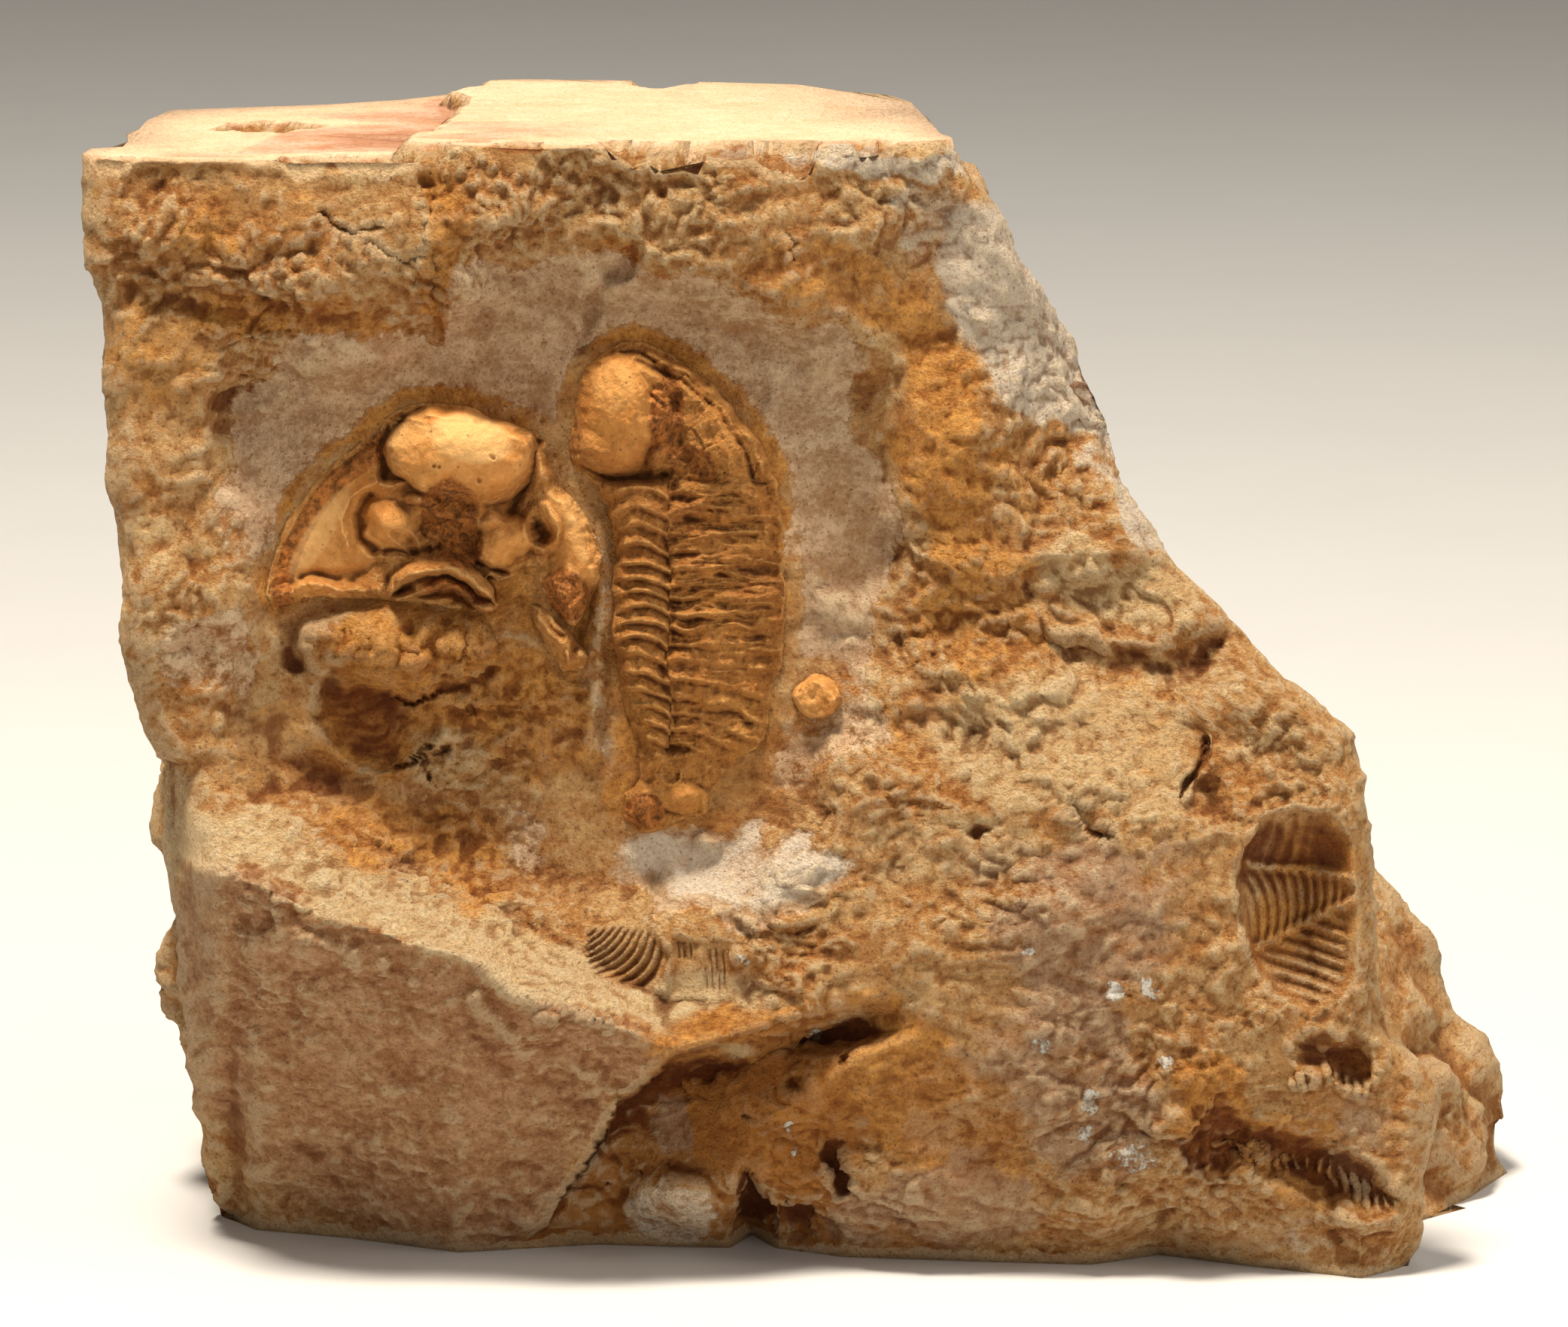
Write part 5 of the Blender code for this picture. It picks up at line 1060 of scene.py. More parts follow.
def hollows(mesh, fine_rounds, wide_rounds):
    """Points, normals and, for two sizes, how far each point lies under its smoothed neighbours."""
    points = mesh_points(mesh)
    triangles = np.empty(len(mesh.polygons) * 3, dtype=np.int32)
    mesh.polygons.foreach_get("vertices", triangles)
    normals = vertex_normals(points, triangles.reshape(-1, 3))
    edges = np.empty(len(mesh.edges) * 2, dtype=np.int32)
    mesh.edges.foreach_get("vertices", edges)
    one, other = edges.reshape(-1, 2).T
    count = np.bincount(edges, minlength=len(points))[:, None]
    smooth = points
    for step in range(1, wide_rounds + 1):
        total = [
            np.bincount(one, smooth[other, i], len(points)) + np.bincount(other, smooth[one, i], len(points))
            for i in range(3)
        ]
        smooth = np.stack(total, axis=-1) / count
        if step == fine_rounds:
            fine = np.sum((smooth - points) * normals, axis=1)
    return points, normals, fine, np.sum((smooth - points) * normals, axis=1)


def patches(a, b, listed):
    """Soft spots joined: 1 minus the product of what each turned ellipse leaves open."""
    left = np.ones_like(a)
    for *place, turn, strength in listed:
        left = left * (1.0 - strength * ease(lump(a, b, place[:2], place[2:], turn), 0.0, 0.55))
    return 1.0 - left


# Spots of colour on the front: middle (a, b), half sizes, turn, strength
PALE = (
    (-47, 68, 4.5, 6, 0, 0.7), (-51.5, 56.5, 4.5, 4.5, 0, 0.7), (6.5, 50, 4.5, 6, 0, 0.6),
    (-5, 36, 13, 4.5, 4, 0.9), (-22.5, 39.5, 4, 2.4, -30, 0.6), (-16.6, 50, 1.2, 7, 0, 0.5),
    (-15.9, 61, 0.9, 8, 0, 0.5), (-0.2, 68, 0.7, 5, 8, 0.6), (-10.5, 6, 5, 3.6, -20, 0.7),
)
STAIN = (
    (-29.5, 91, 3.5, 8, 10, 0.7), (-38, 78, 9, 2.8, 35, 0.9), (-29, 78.6, 7, 2, 0, 0.9),
    (-44.5, 70, 3.4, 6, -25, 0.8), (-43, 84.5, 12, 2.2, -4, 0.7), (-20.5, 79, 2.6, 5, 20, 0.5),
    (-14, 83.6, 7, 1.8, -8, 0.9), (-4, 79.5, 5.5, 1.8, -45, 0.7), (-14.6, 90, 3.4, 3, 30, 0.8),
    (-33.5, 55, 10, 4.5, -5, 0.8), (-37, 49, 5.5, 5, -30, 0.7), (-18, 57.5, 1.6, 6, -10, 0.8),
    (-22, 49, 6, 6, 0, 0.6), (-32, 38, 11, 5.5, -25, 0.65), (-46, 47, 6, 6, 0, 0.4), (14, 76, 5, 14, 8, 0.75),
    (17, 60, 7, 8, -20, 0.6), (4, 88.5, 9, 4, -30, 0.6), (-54, 86, 8, 12, 0, 0.45),
    (-3, 15.5, 12, 6, -30, 0.85), (2, 20, 8, 3.6, -10, 0.6), (38, 12.5, 5.5, 4.5, 0, 0.9),
    (46, 34, 5.5, 8.5, 0, 0.6), (46, 9.5, 9, 2.4, -25, 0.6), (-2, 46, 6, 5, 30, 0.5),
    (-8.5, 40, 5, 2.4, 10, 0.6), (30, 49, 10, 5, -20, 0.4), (-13.5, 28.5, 4.5, 3, 0, 0.45),
    (39.5, 44, 3.5, 3.5, 0, 0.5), (49, 19, 4, 2.4, -20, 0.6), (-27, 53, 8, 5, 10, 0.7),
    (10, 18, 7, 8, 10, 0.75), (16, 10, 6, 4, 0, 0.6), (38, 14, 4.5, 7, 10, 0.9), (45, 12.5, 6, 2.4, -25, 0.6),
    (22, 71, 4, 6, 20, 0.5), (-45, 93, 9, 4, 0, 0.45), (12, 48, 4, 5, 0, 0.5), (-34, 56, 8, 3.2, -4, 0.6),
)
WHITE = (
    (24, 84, 7.5, 15, 28, 0.95), (32, 70.5, 3.2, 8, 20, 0.8), (13.5, 93, 5, 6, 30, 0.5),
    (8, 99, 9, 1.6, 0, 0.8), (-4, 99.4, 8, 1.4, 0, 0.6), (1.5, 3.5, 4, 1.6, -10, 0.5),
    (-4, 36.4, 12, 3.4, 4, 0.75), (-50, 37.5, 4, 2.4, -10, 0.4), (-10, 6.5, 4.6, 3.2, -20, 0.6),
    (27.5, 51, 1.5, 1, 0, 0.4), (48, 4, 5, 3, 0, 0.4),
)
# Painted shade: dark spots in deep hollows, the recess arch and the moulds, added to the wide hollows' field
PAINTED_SHADE_SPOTS = (
    (38, 12, 4, 4.6, 0, 0.9), (47, 10.4, 8, 2, -25, 0.8), (48.6, 19.8, 3.6, 1.8, -25, 0.8),
    (-36, 48.6, 3.6, 3.4, -35, 0.2), (42.4, 37.4, 3, 4, 0, 0.5), (-2.6, 5, 1.6, 5, 12, 0.9),
)
CRYSTALS = (
    (29.2, 25.5, 1.3, 1.2, 0, 1), (32.5, 25.7, 1.1, 1.5, 20, 1), (33.9, 19.2, 1.1, 0.9, 0, 1),
    (22.7, 20.8, 1.3, 1.2, 0, 0.9), (27.2, 15.7, 1.2, 1.6, 0, 1), (26.8, 12.8, 1.2, 1, 0, 1),
    (21.6, 29.2, 0.9, 0.8, 0, 1), (2.9, 21.7, 1, 0.8, 0, 1), (0.4, 13.5, 0.9, 0.6, 0, 1),
    (-3.7, 28.2, 1, 0.5, -30, 1), (1, 11.3, 0.7, 0.6, 0, 1), (31, 10.6, 3.2, 1.7, 0, 0.9),
)
CREAM = (
    (24, 47, 15, 8, -12, 0.9), (30.5, 61.5, 9, 4, -6, 0.9), (-5, 35.6, 12, 3, 4, 0.9),
    (-44, 38, 10, 4, -12, 0.8), (-28, 32.5, 9, 3, -22, 0.8), (14, 38, 10, 4, 8, 0.6),
    (-56, 62, 4, 10, 0, 0.4), (-8, 24, 12, 3, 0, 0.6), (22, 54, 6, 3, -10, 0.5),
    (-27.5, 51.2, 4, 1.8, -8, 0.8), (-47, 50, 4, 5, 0, 0.5), (35, 54, 6, 3, 10, 0.6),
    (44, 49, 5, 4, -30, 0.5), (33, 28, 5, 4, 0, 0.35), (10, 24, 6, 3, 0, 0.35),
)
LILAC = (
    (26, 31, 9, 8, 20, 0.8), (26, 17, 9, 10, 0, 0.75), (13, 6, 12, 4, 0, 0.7), (16, 14, 5, 6, 0, 0.5),
    (-9.5, 13.6, 2.6, 2.2, -20, 0.7), (17.5, 36.5, 5, 3, 10, 0.5), (34.5, 34, 3, 6, 0, 0.5),
    (-16.5, 21, 4, 1.6, -20, 0.5), (-33, 24, 6, 2, -20, 0.35), (50.5, 12.5, 3, 3, 0, 0.6),
    (41, 5, 8, 3, 0, 0.4),
)


# On the fossils: brown crust, smooth shell and painted highlight spots on the domes' tops
BROWN_SPOTS = (
    (-29.6, 68.2, 3, 3, 0, 1), (-28.6, 65, 2.4, 2.4, 0, 0.9), (-19.2, 60.6, 2.2, 2.8, 20, 0.9),
    (-10.4, 76.6, 1.8, 4.2, -8, 0.8), (-29, 60.8, 4, 1, -14, 0.8), (-12.4, 41.4, 2.2, 2, 0, 0.7),
    (-8.2, 72.2, 3, 2, -20, 0.6),
)
SMOOTH_SHELL = (
    (-28.6, 73.4, 7, 5, -5, 1), (-40, 65.5, 5, 7.5, -35, 0.9), (-24.6, 65.6, 2.8, 3.4, -30, 0.9),
    (-14.6, 76.6, 4.2, 6, 0, 0.9), (-19, 65, 2.4, 6, 15, 0.8), (-35, 67.2, 3, 3, 0, 0.7),
    (2.9, 51.6, 2.4, 2.4, 0, 0.7), (-9, 42.6, 2.6, 1.8, 0, 0.5),
)
PAINTED_HIGHLIGHT_SPOTS = (
    (-27.8, 74.4, 4.6, 2.6, -10, 0.9), (-15.2, 79, 2.6, 2.8, 0, 0.6), (-41.2, 66, 1.4, 6, -32, 0.7),
    (-33.4, 74.8, 2.4, 1.4, 20, 0.6), (-18.4, 66.4, 1.2, 4, 15, 0.5),
)


def mark_stone(piece):
    """The fields that colour the stone, from where each point lies on the chart and how it lies among its
    neighbours: tones and stains, painted shade in hollows, the recess and deep spots, and painted light on
    the shelf.
    """
    points, normals, fine, wide = hollows(piece.data, 2, 14)
    a, b = to_chart(points)
    front = ease(points[:, 1], -12.0, -18.0)
    beside = np.max([inside_fossil(a, b, outline) for outline in fossil_outlines().values()], axis=0)
    beside = beside - 9.0 * (front < 0.5)
    shown = ease(beside, -0.5, -1.4)
    # An orange halo just outside each fossil: stain, partly painted contact shade
    stain_and_contact_shade = ease(beside + 1.8 * crumble(points, 4.0, 3, 521, 0.0), -2.4, 0.0)
    stain_and_contact_shade = stain_and_contact_shade * ease(noise(points, 9.0, 531), -0.5, 0.2)
    # The hollow fields, with the spots of painted shade, feed the painted shade in hollows and the painted
    # highlight on crests
    set_field(piece.data, "fine_hollow", fine * shown)
    deep = 0.7 * patches(a, b, PAINTED_SHADE_SPOTS) * front
    set_field(piece.data, "wide_hollow", wide * shown * (0.5 + 0.5 * front) + deep)
    set_field(piece.data, "crystals", patches(a, b, CRYSTALS) * front)
    a = a + 2.0 * crumble(points, 6.0, 4, 501, 0.0)
    b = b + 2.0 * crumble(points, 6.0, 4, 511, 0.0)
    below_saw = sawn_plane(points[:, 0], points[:, 1]) - points[:, 2]
    sawn = ease(normals[:, 2], 0.8, 0.96) * ease(below_saw, 0.7, 0.3)
    front = front * (1.0 - sawn)
    crest = follow(a, CREST)
    facet = ease(crest - b, -0.2, 0.8) * ease(follow(b, FACET_EDGE) - a, -0.5, 0.8) * front
    # The shelf field marks the up-facing shelf for its painted light
    shelf = ease(b - crest, -0.5, 0.6) * ease(b - crest, 8.0, 3.0) * ease(a, 3.0, -6.0) * front
    # The recess field marks where the stone gets painted shade under the crest
    recess = ease(crest - b, 0.0, 2.0) * ease(a - follow(b, FACET_EDGE), 0.0, 1.0) * ease(a, 9.0, 2.0) * front
    cleared = ease(depth_inside(a, b, BASIN), -0.5, 2.0) * ease(beside, -0.5, -2.6)
    cleared = cleared * np.maximum(ease(b, 58.0, 63.0), ease(a, -2.0, 1.0) * ease(b, 42.0, 48.0))
    set_field(piece.data, "pale", np.maximum(patches(a, b, PALE), 0.95 * cleared) * front)
    set_field(piece.data, "stain", np.maximum(patches(a, b, STAIN), stain_and_contact_shade) * front)
    for name, spots in (("white", WHITE), ("lilac", LILAC), ("cream", CREAM)):
        set_field(piece.data, name, patches(a, b, spots) * front)
    for name, values in (("facet", facet), ("shelf", shelf), ("recess", recess), ("sawn", sawn)):
        set_field(piece.data, name, values)


def seen(red, green, blue):
    """Linear light of a colour as a screen shows it from 0 to 255: the sRGB curve."""
    share = np.array([red, green, blue]) / 255.0
    return tuple(np.where(share > 0.04045, ((share + 0.055) / 1.055) ** 2.4, share / 12.92).tolist())


class Wire:
    """A shader socket that does arithmetic: an expression on wires adds Math nodes."""

    def __init__(self, finish, socket):
        self.finish = finish
        self.socket = socket

    def math(self, operation, first, second=0.0):
        """The result of one Math node."""
        return self.finish.node("ShaderNodeMath", {"operation": operation}, {0: first, 1: second})

    def __add__(self, other):
        return self.math("ADD", self, other)

    def __radd__(self, other):
        return self.math("ADD", other, self)

    def __sub__(self, other):
        return self.math("SUBTRACT", self, other)

    def __rsub__(self, other):
        return self.math("SUBTRACT", other, self)

    def __mul__(self, other):
        return self.math("MULTIPLY", self, other)

    def __rmul__(self, other):
        return self.math("MULTIPLY", other, self)

    def __pow__(self, other):
        return self.math("POWER", self, other)


class Finish:
    """A material under construction."""

    def __init__(self, name):
        self.material = bpy.data.materials.new(name)
        self.material.use_nodes = True
        self.tree = self.material.node_tree
        self.tree.nodes.clear()

    def node(self, kind, settings=None, sockets=None, output=0):
        """One node: its settings first, then the values or links of its sockets; its output as a wire."""
        made = self.tree.nodes.new(kind)
        for key, value in (settings or {}).items():
            if key == "stops":
                ramp = made.color_ramp
                while len(ramp.elements) < len(value):
                    ramp.elements.new(1.0)
                for element, (place, colour) in zip(ramp.elements, value):
                    element.position = place
                    element.color = (*colour, 1.0)
            else:
                setattr(made, key, value)
        for key, value in (sockets or {}).items():
            if isinstance(value, Wire):
                self.tree.links.new(value.socket, made.inputs[key])
            elif isinstance(value, tuple) and len(value) == 3 and made.inputs[key].type == "RGBA":
                made.inputs[key].default_value = (*value, 1.0)
            else:
                made.inputs[key].default_value = value
        return Wire(self, made.outputs[output])

    def field(self, name):
        """A number that the mesh carries for each vertex."""
        return self.node("ShaderNodeAttribute", {"attribute_name": name}, output="Fac")

    def place(self, stretch=(1.0, 1.0, 1.0)):
        """Object coordinates in millimetres, stretched along each axis."""
        coordinates = self.node("ShaderNodeTexCoord", output="Object")
        factors = tuple(1000.0 * value for value in stretch)
        return self.node("ShaderNodeVectorMath", {"operation": "MULTIPLY"}, {0: coordinates, 1: factors})

    def cloud(self, place, size, detail=4.0, roughness=0.6):
        """Noise from 0 to 1 whose largest grains are `size` millimetres."""
        sockets = {"Vector": place, "Scale": 1.0 / size, "Detail": detail, "Roughness": roughness}
        return self.node("ShaderNodeTexNoise", None, sockets)

    def cells(self, place, size):
        """Distance from 0 to about 1 to the nearest of points scattered `size` millimetres apart."""
        return self.node("ShaderNodeTexVoronoi", None, {"Vector": place, "Scale": 1.0 / size})

    def step(self, value, low, high):
        """Smooth step of a wire from 0 at low to 1 at high."""
        sockets = {"Value": value, "From Min": low, "From Max": high}
        return self.node("ShaderNodeMapRange", {"interpolation_type": "SMOOTHSTEP"}, sockets)

    def mix(self, share, first, second, how="MIX"):
        """Two colours mixed by a share."""
        settings = {"data_type": "RGBA", "blend_type": how}
        return self.node("ShaderNodeMix", settings, {0: share, 6: first, 7: second}, output=2)

    def bump(self, height, distance, strength, normal=None):
        """A normal tilted by a height; distance in millimetres."""
        sockets = {"Height": height, "Distance": distance * MM, "Strength": strength}
        if normal:
            sockets["Normal"] = normal
        return self.node("ShaderNodeBump", None, sockets)

    def finish(self, colour, roughness, normal):
        """The surface: a Principled shader on the material's output."""
        sockets = {"Base Color": colour, "Roughness": roughness, "Normal": normal, "Specular IOR Level": 0.25}
        surface = self.node("ShaderNodeBsdfPrincipled", None, sockets)
        made = self.tree.nodes.new("ShaderNodeOutputMaterial")
        self.tree.links.new(surface.socket, made.inputs["Surface"])
        return self.material


def limestone():
    """Ochre limestone: clouds of brown, ochre and cream, coloured fields, painted shade in hollows and in the
    recess, painted light on the shelf, painted highlights on crests and bump tops.
    """
    stone = Finish("limestone")
    place = stone.place()
    streaked = stone.place((0.75, 1.0, 1.35))
    broad = stone.cloud(place, 13.0, 5.0, 0.6)
    middle = stone.cloud(streaked, 3.4, 7.0, 0.66)
    small = stone.cloud(place, 1.0, 6.0, 0.75)
    grain = stone.cloud(place, 0.34, 3.0, 0.75)
    blotch = stone.step(broad * 0.4 + middle * 0.6, 0.38, 0.62)
    colour = stone.mix(blotch, seen(200, 134, 66), seen(226, 178, 116))
    stain = stone.field("stain")
    # Painted highlight on the tops of the bumps that the small noise raises, weaker on stains, and painted
    # shade in their lows
    colour = stone.mix(stone.step(small, 0.5, 0.68) * (0.6 - 0.4 * stain), colour, seen(248, 214, 156))
    colour = stone.mix(stone.step(small, 0.48, 0.34) * 0.7, colour, seen(140, 82, 30))

    warp = (middle - 0.5) * 1.5 + (broad - 0.5) * 0.9 + (small - 0.5) * 0.7
    facet = stone.field("facet")
    flecks = stone.step(small * 0.6 + middle * 0.4, 0.35, 0.66)
    facet_tone = stone.mix(flecks, seen(172, 118, 76), seen(228, 180, 134))
    colour = stone.mix(facet * 0.8, colour, facet_tone)
    # Painted light: the up-facing shelf above the crest gets a brighter cream-ochre tone
    shelf = stone.step(stone.field("shelf") + warp * 0.4, 0.1, 0.8)
    colour = stone.mix(shelf * 0.8, colour, stone.mix(small, seen(226, 172, 104), seen(255, 240, 196)))
    cream = stone.step(stone.field("cream") + warp * 0.8, 0.3, 0.9)
    colour = stone.mix(cream * 0.7, colour, stone.mix(small, seen(222, 166, 96), seen(255, 236, 186)))
    stain = stone.step(stain + warp * 0.8, 0.3, 0.8)
    mottle = stone.step(middle * 0.5 + small * 0.5, 0.38, 0.62)
    stain_tone = stone.mix(mottle, seen(176, 106, 34), seen(246, 174, 82))
    colour = stone.mix(stain * 0.85, colour, stain_tone)
    # The recess under the crest: the stone's own orange-brown, darkened by painted shade
    recess = stone.step(stone.field("recess") + warp * 0.5, 0.2, 0.8)
    colour = stone.mix(recess * 0.75, colour, stone.mix(middle, seen(160, 94, 30), seen(224, 152, 70)))
    lilac = stone.step(stone.field("lilac") + warp * 1.0, 0.35, 0.85)
    colour = stone.mix(lilac * 0.7, colour, stone.mix(small, seen(166, 120, 86), seen(222, 188, 156)))
    feather = (middle - 0.5) * 0.9 + (small - 0.5) * 1.5
    pale = stone.step(stone.field("pale") + feather, 0.35, 0.75)
    pale_tone = stone.mix(mottle, seen(178, 138, 98), seen(232, 200, 164))
    colour = stone.mix(pale * (0.5 + 0.7 * broad), colour, pale_tone)
    white = stone.step(stone.field("white") + warp * 0.8, 0.3, 0.8)
    colour = stone.mix(white * 0.9, colour, stone.mix(small, seen(222, 194, 160), seen(255, 246, 226)))
    crystal = stone.step(stone.field("crystals") + (small - 0.5) * 3.0, 0.8, 1.0)
    colour = stone.mix(crystal, colour, seen(255, 250, 236))
    sawn = stone.field("sawn")
    smear = stone.step(middle * 0.5 + small * 0.5, 0.4, 0.66)
    sawn_tone = stone.mix(stone.step(broad, 0.35, 0.65), seen(188, 136, 98), seen(206, 160, 132))
    colour = stone.mix(sawn * 0.9, colour, stone.mix(smear * 0.7, sawn_tone, seen(224, 190, 170)))

    # Painted shade in fine and wide hollows, less on the pale ground, and painted highlight on crests, read
    # from how far each point lies under or over its neighbours
    fine = stone.field("fine_hollow")
    wide = stone.field("wide_hollow")
    open_share = 1.0 - 0.8 * pale
    painted_hollow_shade = stone.step(fine, 0.01, 0.12) * 0.6 * open_share
    colour = stone.mix(painted_hollow_shade, colour, seen(204, 172, 140), "MULTIPLY")
    colour = stone.mix(stone.step(wide, 0.1, 0.7) * 0.8 * open_share, colour, seen(150, 106, 66), "MULTIPLY")
    painted_highlight = stone.step(fine * -1.0, 0.02, 0.14) * (0.4 - 0.3 * stain)
    colour = stone.mix(painted_highlight, colour, seen(252, 228, 184))
    speck = stone.step(stone.cells(place, 0.9), 0.16, 0.10)
    colour = stone.mix(speck * 0.5, colour, seen(104, 66, 30))
    colour = stone.mix(stone.step(grain, 0.52, 0.34) * 0.45, colour, seen(190, 150, 110), "MULTIPLY")

    granules = stone.cells(place, 0.62)
    height = middle * 0.9 + small * 1.1 + grain * 0.55 - granules * 0.22 + crystal * 0.4
    calm = (1.0 - 0.35 * pale) * (1.0 - 0.75 * sawn)
    normal = stone.bump(height * calm, 1.5, 1.0)
    roughness = 0.86 + 0.1 * small
    return stone.finish(colour, roughness, normal)


def fossil_finish(name, dark, mid, light, painted_highlight):
    """Fossil shell: mottled brown to ochre with brown crust, painted shade in its grooves and bump lows,
    painted highlight on crests, bump tops and dome tops, finely pitted.
    """
    shell = Finish(name)
    place = shell.place()
    broad = shell.cloud(place, 6.0, 5.0, 0.6)
    middle = shell.cloud(place, 2.2, 6.0, 0.65)
    small = shell.cloud(place, 0.8, 5.0, 0.7)
    rough = shell.field("rough")
    colour = shell.mix(shell.step(broad, 0.35, 0.65), mid, light)
    colour = shell.mix(shell.step(middle, 0.5, 0.66) * 0.55, colour, seen(192, 122, 48))
    # Painted shade in the lows and painted highlight on the tops of the bumps that the small noise raises
    colour = shell.mix(shell.step(small, 0.5, 0.3) * (0.3 + 0.4 * rough), colour, dark)
    colour = shell.mix(shell.step(small, 0.52, 0.7) * (0.25 + 0.25 * rough), colour, painted_highlight)
    fine = shell.field("fine_hollow")
    wide = shell.field("wide_hollow")
    # Painted shade in wide and fine hollows, painted highlight on crests
    colour = shell.mix(shell.step(wide, 0.04, 0.4) * 0.8, colour, dark)
    colour = shell.mix(shell.step(fine, 0.01, 0.1) * 0.5, colour, seen(186, 146, 106), "MULTIPLY")
    colour = shell.mix(shell.step(fine * -1.0, 0.01, 0.12) * 0.35, colour, painted_highlight)
    brown = shell.step(shell.field("brown") + (middle - 0.5) * 1.2, 0.25, 0.7)
    crust = shell.mix(shell.step(small, 0.35, 0.62), dark, seen(186, 114, 50))
    colour = shell.mix(brown * 0.9, colour, crust)
    # Painted highlight on the domes' tops, from the cream field
    colour = shell.mix(shell.step(shell.field("cream") + (middle - 0.5) * 1.2, 0.2, 1.0) * 0.45, colour, painted_highlight)
    speck = shell.step(shell.cells(place, 1.3), 0.12, 0.07)
    colour = shell.mix(speck * 0.6, colour, dark)
    grain = shell.cloud(place, 0.32, 3.0, 0.7)
    height = (middle * 0.4 + small * 0.8 + grain * 0.35) * (0.3 + 0.7 * rough)
    normal = shell.bump(height, 1.0, 1.0)
    return shell.finish(colour, 0.62 + 0.22 * small, normal)


def dress(piece, node, finish):
    """Smooth shading, the finish, and the piece's place in the frame."""
    piece.data.shade_smooth()
    piece.data.materials.clear()
    piece.data.materials.append(finish)
    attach(piece, "root")
    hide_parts(node)


def make_stone():
    """The limestone block."""
    points, triangles = block_shell(*BLOCK_GRID)
    block = make_piece("limestone_block", weathered(points, triangles), triangles)
    seated(thinned(block, BLOCK_TRIANGLES))
    mark_stone(block)
    dress(block, "limestone_matrix", limestone())


def make_fossils():
    """The four fossils, each a fine mesh in the place of its solid."""
    outlines = fossil_outlines()
    brown = (seen(92, 52, 18), seen(160, 100, 42), seen(184, 126, 60), seen(220, 172, 102))
    ochre = (seen(104, 60, 22), seen(178, 116, 52), seen(204, 146, 78), seen(238, 196, 130))
    listed = (
        ("centre_trilobite", "trilobite_body", "trilobite_shell", trilobite_relief, 150000, brown),
        ("left_trilobite_head", "trilobite_head", "head_shell", head_relief, 120000, ochre),
        ("cheek_fragment", "spine_fragment", "spine_shell", fragment_relief, 9000, ochre),
        ("small_shell", "round_shell", "shell_plate", shell_relief, 8000, ochre),
    )
    for node, name, slot, relief, most, tones in listed:
        piece = thinned(make_piece(name, *fossil_shell(outlines[node], relief, FOSSIL_SPACING)), most)
        # The hollow fields feed the painted shade in grooves and the painted highlight on crests
        points, _, fine, wide = hollows(piece.data, 3, 40)
        set_field(piece.data, "fine_hollow", fine)
        set_field(piece.data, "wide_hollow", wide)
        a, b = to_chart(points)
        from_rim = line_distance(a, b, HEAD_BORDER[:RIM_CORNERS])
        rim = ease(from_rim, 2.4, 1.8) * ease(from_rim, 0.1, 0.6)
        spots = patches(a, b, BROWN_SPOTS)
        set_field(piece.data, "brown", np.maximum(rim, spots))
        smooth = patches(a, b, SMOOTH_SHELL)
        set_field(piece.data, "rough", np.maximum(1.0 - smooth, spots))
        # The cream field holds painted highlight spots on the domes' tops
        set_field(piece.data, "cream", patches(a, b, PAINTED_HIGHLIGHT_SPOTS))
        dress(piece, node, fossil_finish(slot, *tones))


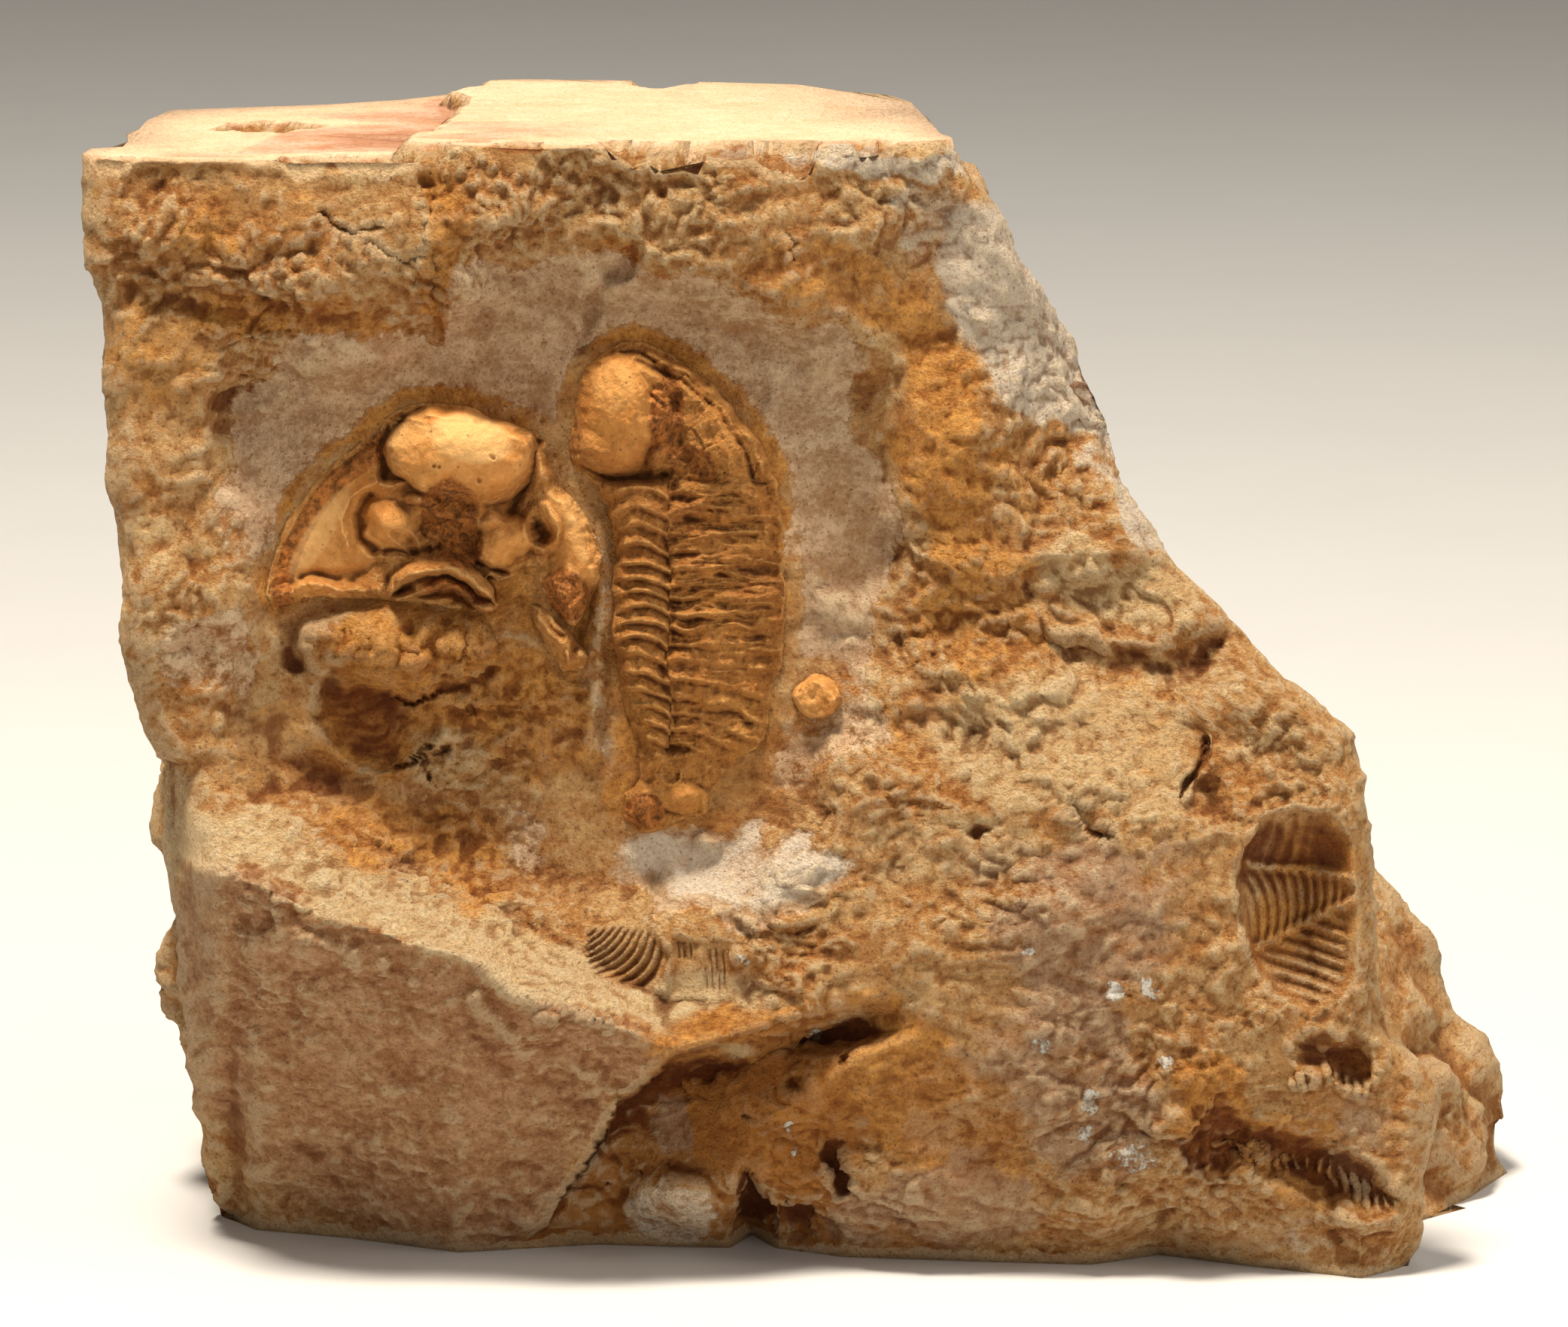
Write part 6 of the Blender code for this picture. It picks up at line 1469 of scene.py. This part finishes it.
def make_floor():
    """A plain pale floor that curves up into a backdrop far behind: a profile swept along X."""
    turns = np.linspace(0.0, 0.5 * np.pi, 25)
    y = np.concatenate([[-1.6], 1.2 + 0.6 * np.sin(turns), [1.8]])
    z = np.concatenate([[0.0], 0.6 - 0.6 * np.cos(turns), [2.2]])
    x = np.linspace(-2.5, 2.5, 2)
    points = np.stack([np.repeat(x, len(y)), np.tile(y, 2), np.tile(z, 2)], axis=-1)
    index = np.arange(len(points)).reshape(2, -1)
    floor = make_piece("floor", points / MM - (*CENTRE_SHIFT, 0.0), split(grid_quads(index)))
    floor.data.shade_smooth()
    paper = Finish("paper")
    place = paper.place()
    tone = paper.mix(paper.cloud(place, 60.0), seen(204, 202, 198), seen(210, 208, 204))
    floor.data.materials.append(paper.finish(tone, 0.7, paper.bump(paper.cloud(place, 2.0), 0.05, 0.1)))


def area_light(name, place, target, size, watts, colour):
    """A square soft light at a place, aimed at a target, in metres."""
    lamp = bpy.data.lights.new(name, "AREA")
    lamp.size = size
    lamp.energy = watts
    lamp.color = colour
    made = bpy.data.objects.new(name, lamp)
    made.location = place
    made.rotation_euler = (Vector(target) - Vector(place)).to_track_quat("-Z", "Y").to_euler()
    bpy.context.scene.collection.objects.link(made)


def make_light():
    """A warm key light high at the left, a weak fill at the right, and a soft grey surround."""
    middle = (0.0, -0.02, 0.05)
    area_light("key", (-0.15, -0.19, 0.92), middle, 0.16, 16.0, (1.0, 0.91, 0.79))
    area_light("fill", (0.5, -1.0, 0.45), middle, 0.9, 3.4, (1.0, 0.95, 0.9))
    area_light("side", (0.75, -0.25, 0.5), middle, 0.4, 3.0, (1.0, 0.96, 0.9))
    area_light("top", (0.1, 0.35, 0.9), middle, 0.6, 1.0, (1.0, 0.96, 0.9))
    world = bpy.data.worlds.new("surround")
    world.use_nodes = True
    world.node_tree.nodes["Background"].inputs["Color"].default_value = (0.87, 0.86, 0.85, 1.0)
    world.node_tree.nodes["Background"].inputs["Strength"].default_value = 0.16
    bpy.context.scene.world = world


def make_camera():
    """The viewer of the chart, with the photograph's frame."""
    camera = bpy.data.cameras.new("camera")
    camera.sensor_width = SENSOR
    camera.lens = SENSOR * EYE_DISTANCE / FRAME_WIDTH_MM
    camera.clip_start = 0.01
    made = bpy.data.objects.new("camera", camera)
    centre = np.array([CENTRE_SHIFT[0], WALL_Y + CENTRE_SHIFT[1], WALL_Z])
    sight = np.array([0.0, -COSINE, SINE])
    made.location = (centre + sight * EYE_DISTANCE) * MM
    made.rotation_euler = (0.5 * np.pi - EYE_RISE, 0.0, 0.0)
    bpy.context.scene.collection.objects.link(made)
    bpy.context.scene.camera = made


make_stone()
make_fossils()
make_floor()
make_light()
make_camera()
bpy.context.scene.view_settings.view_transform = "Standard"
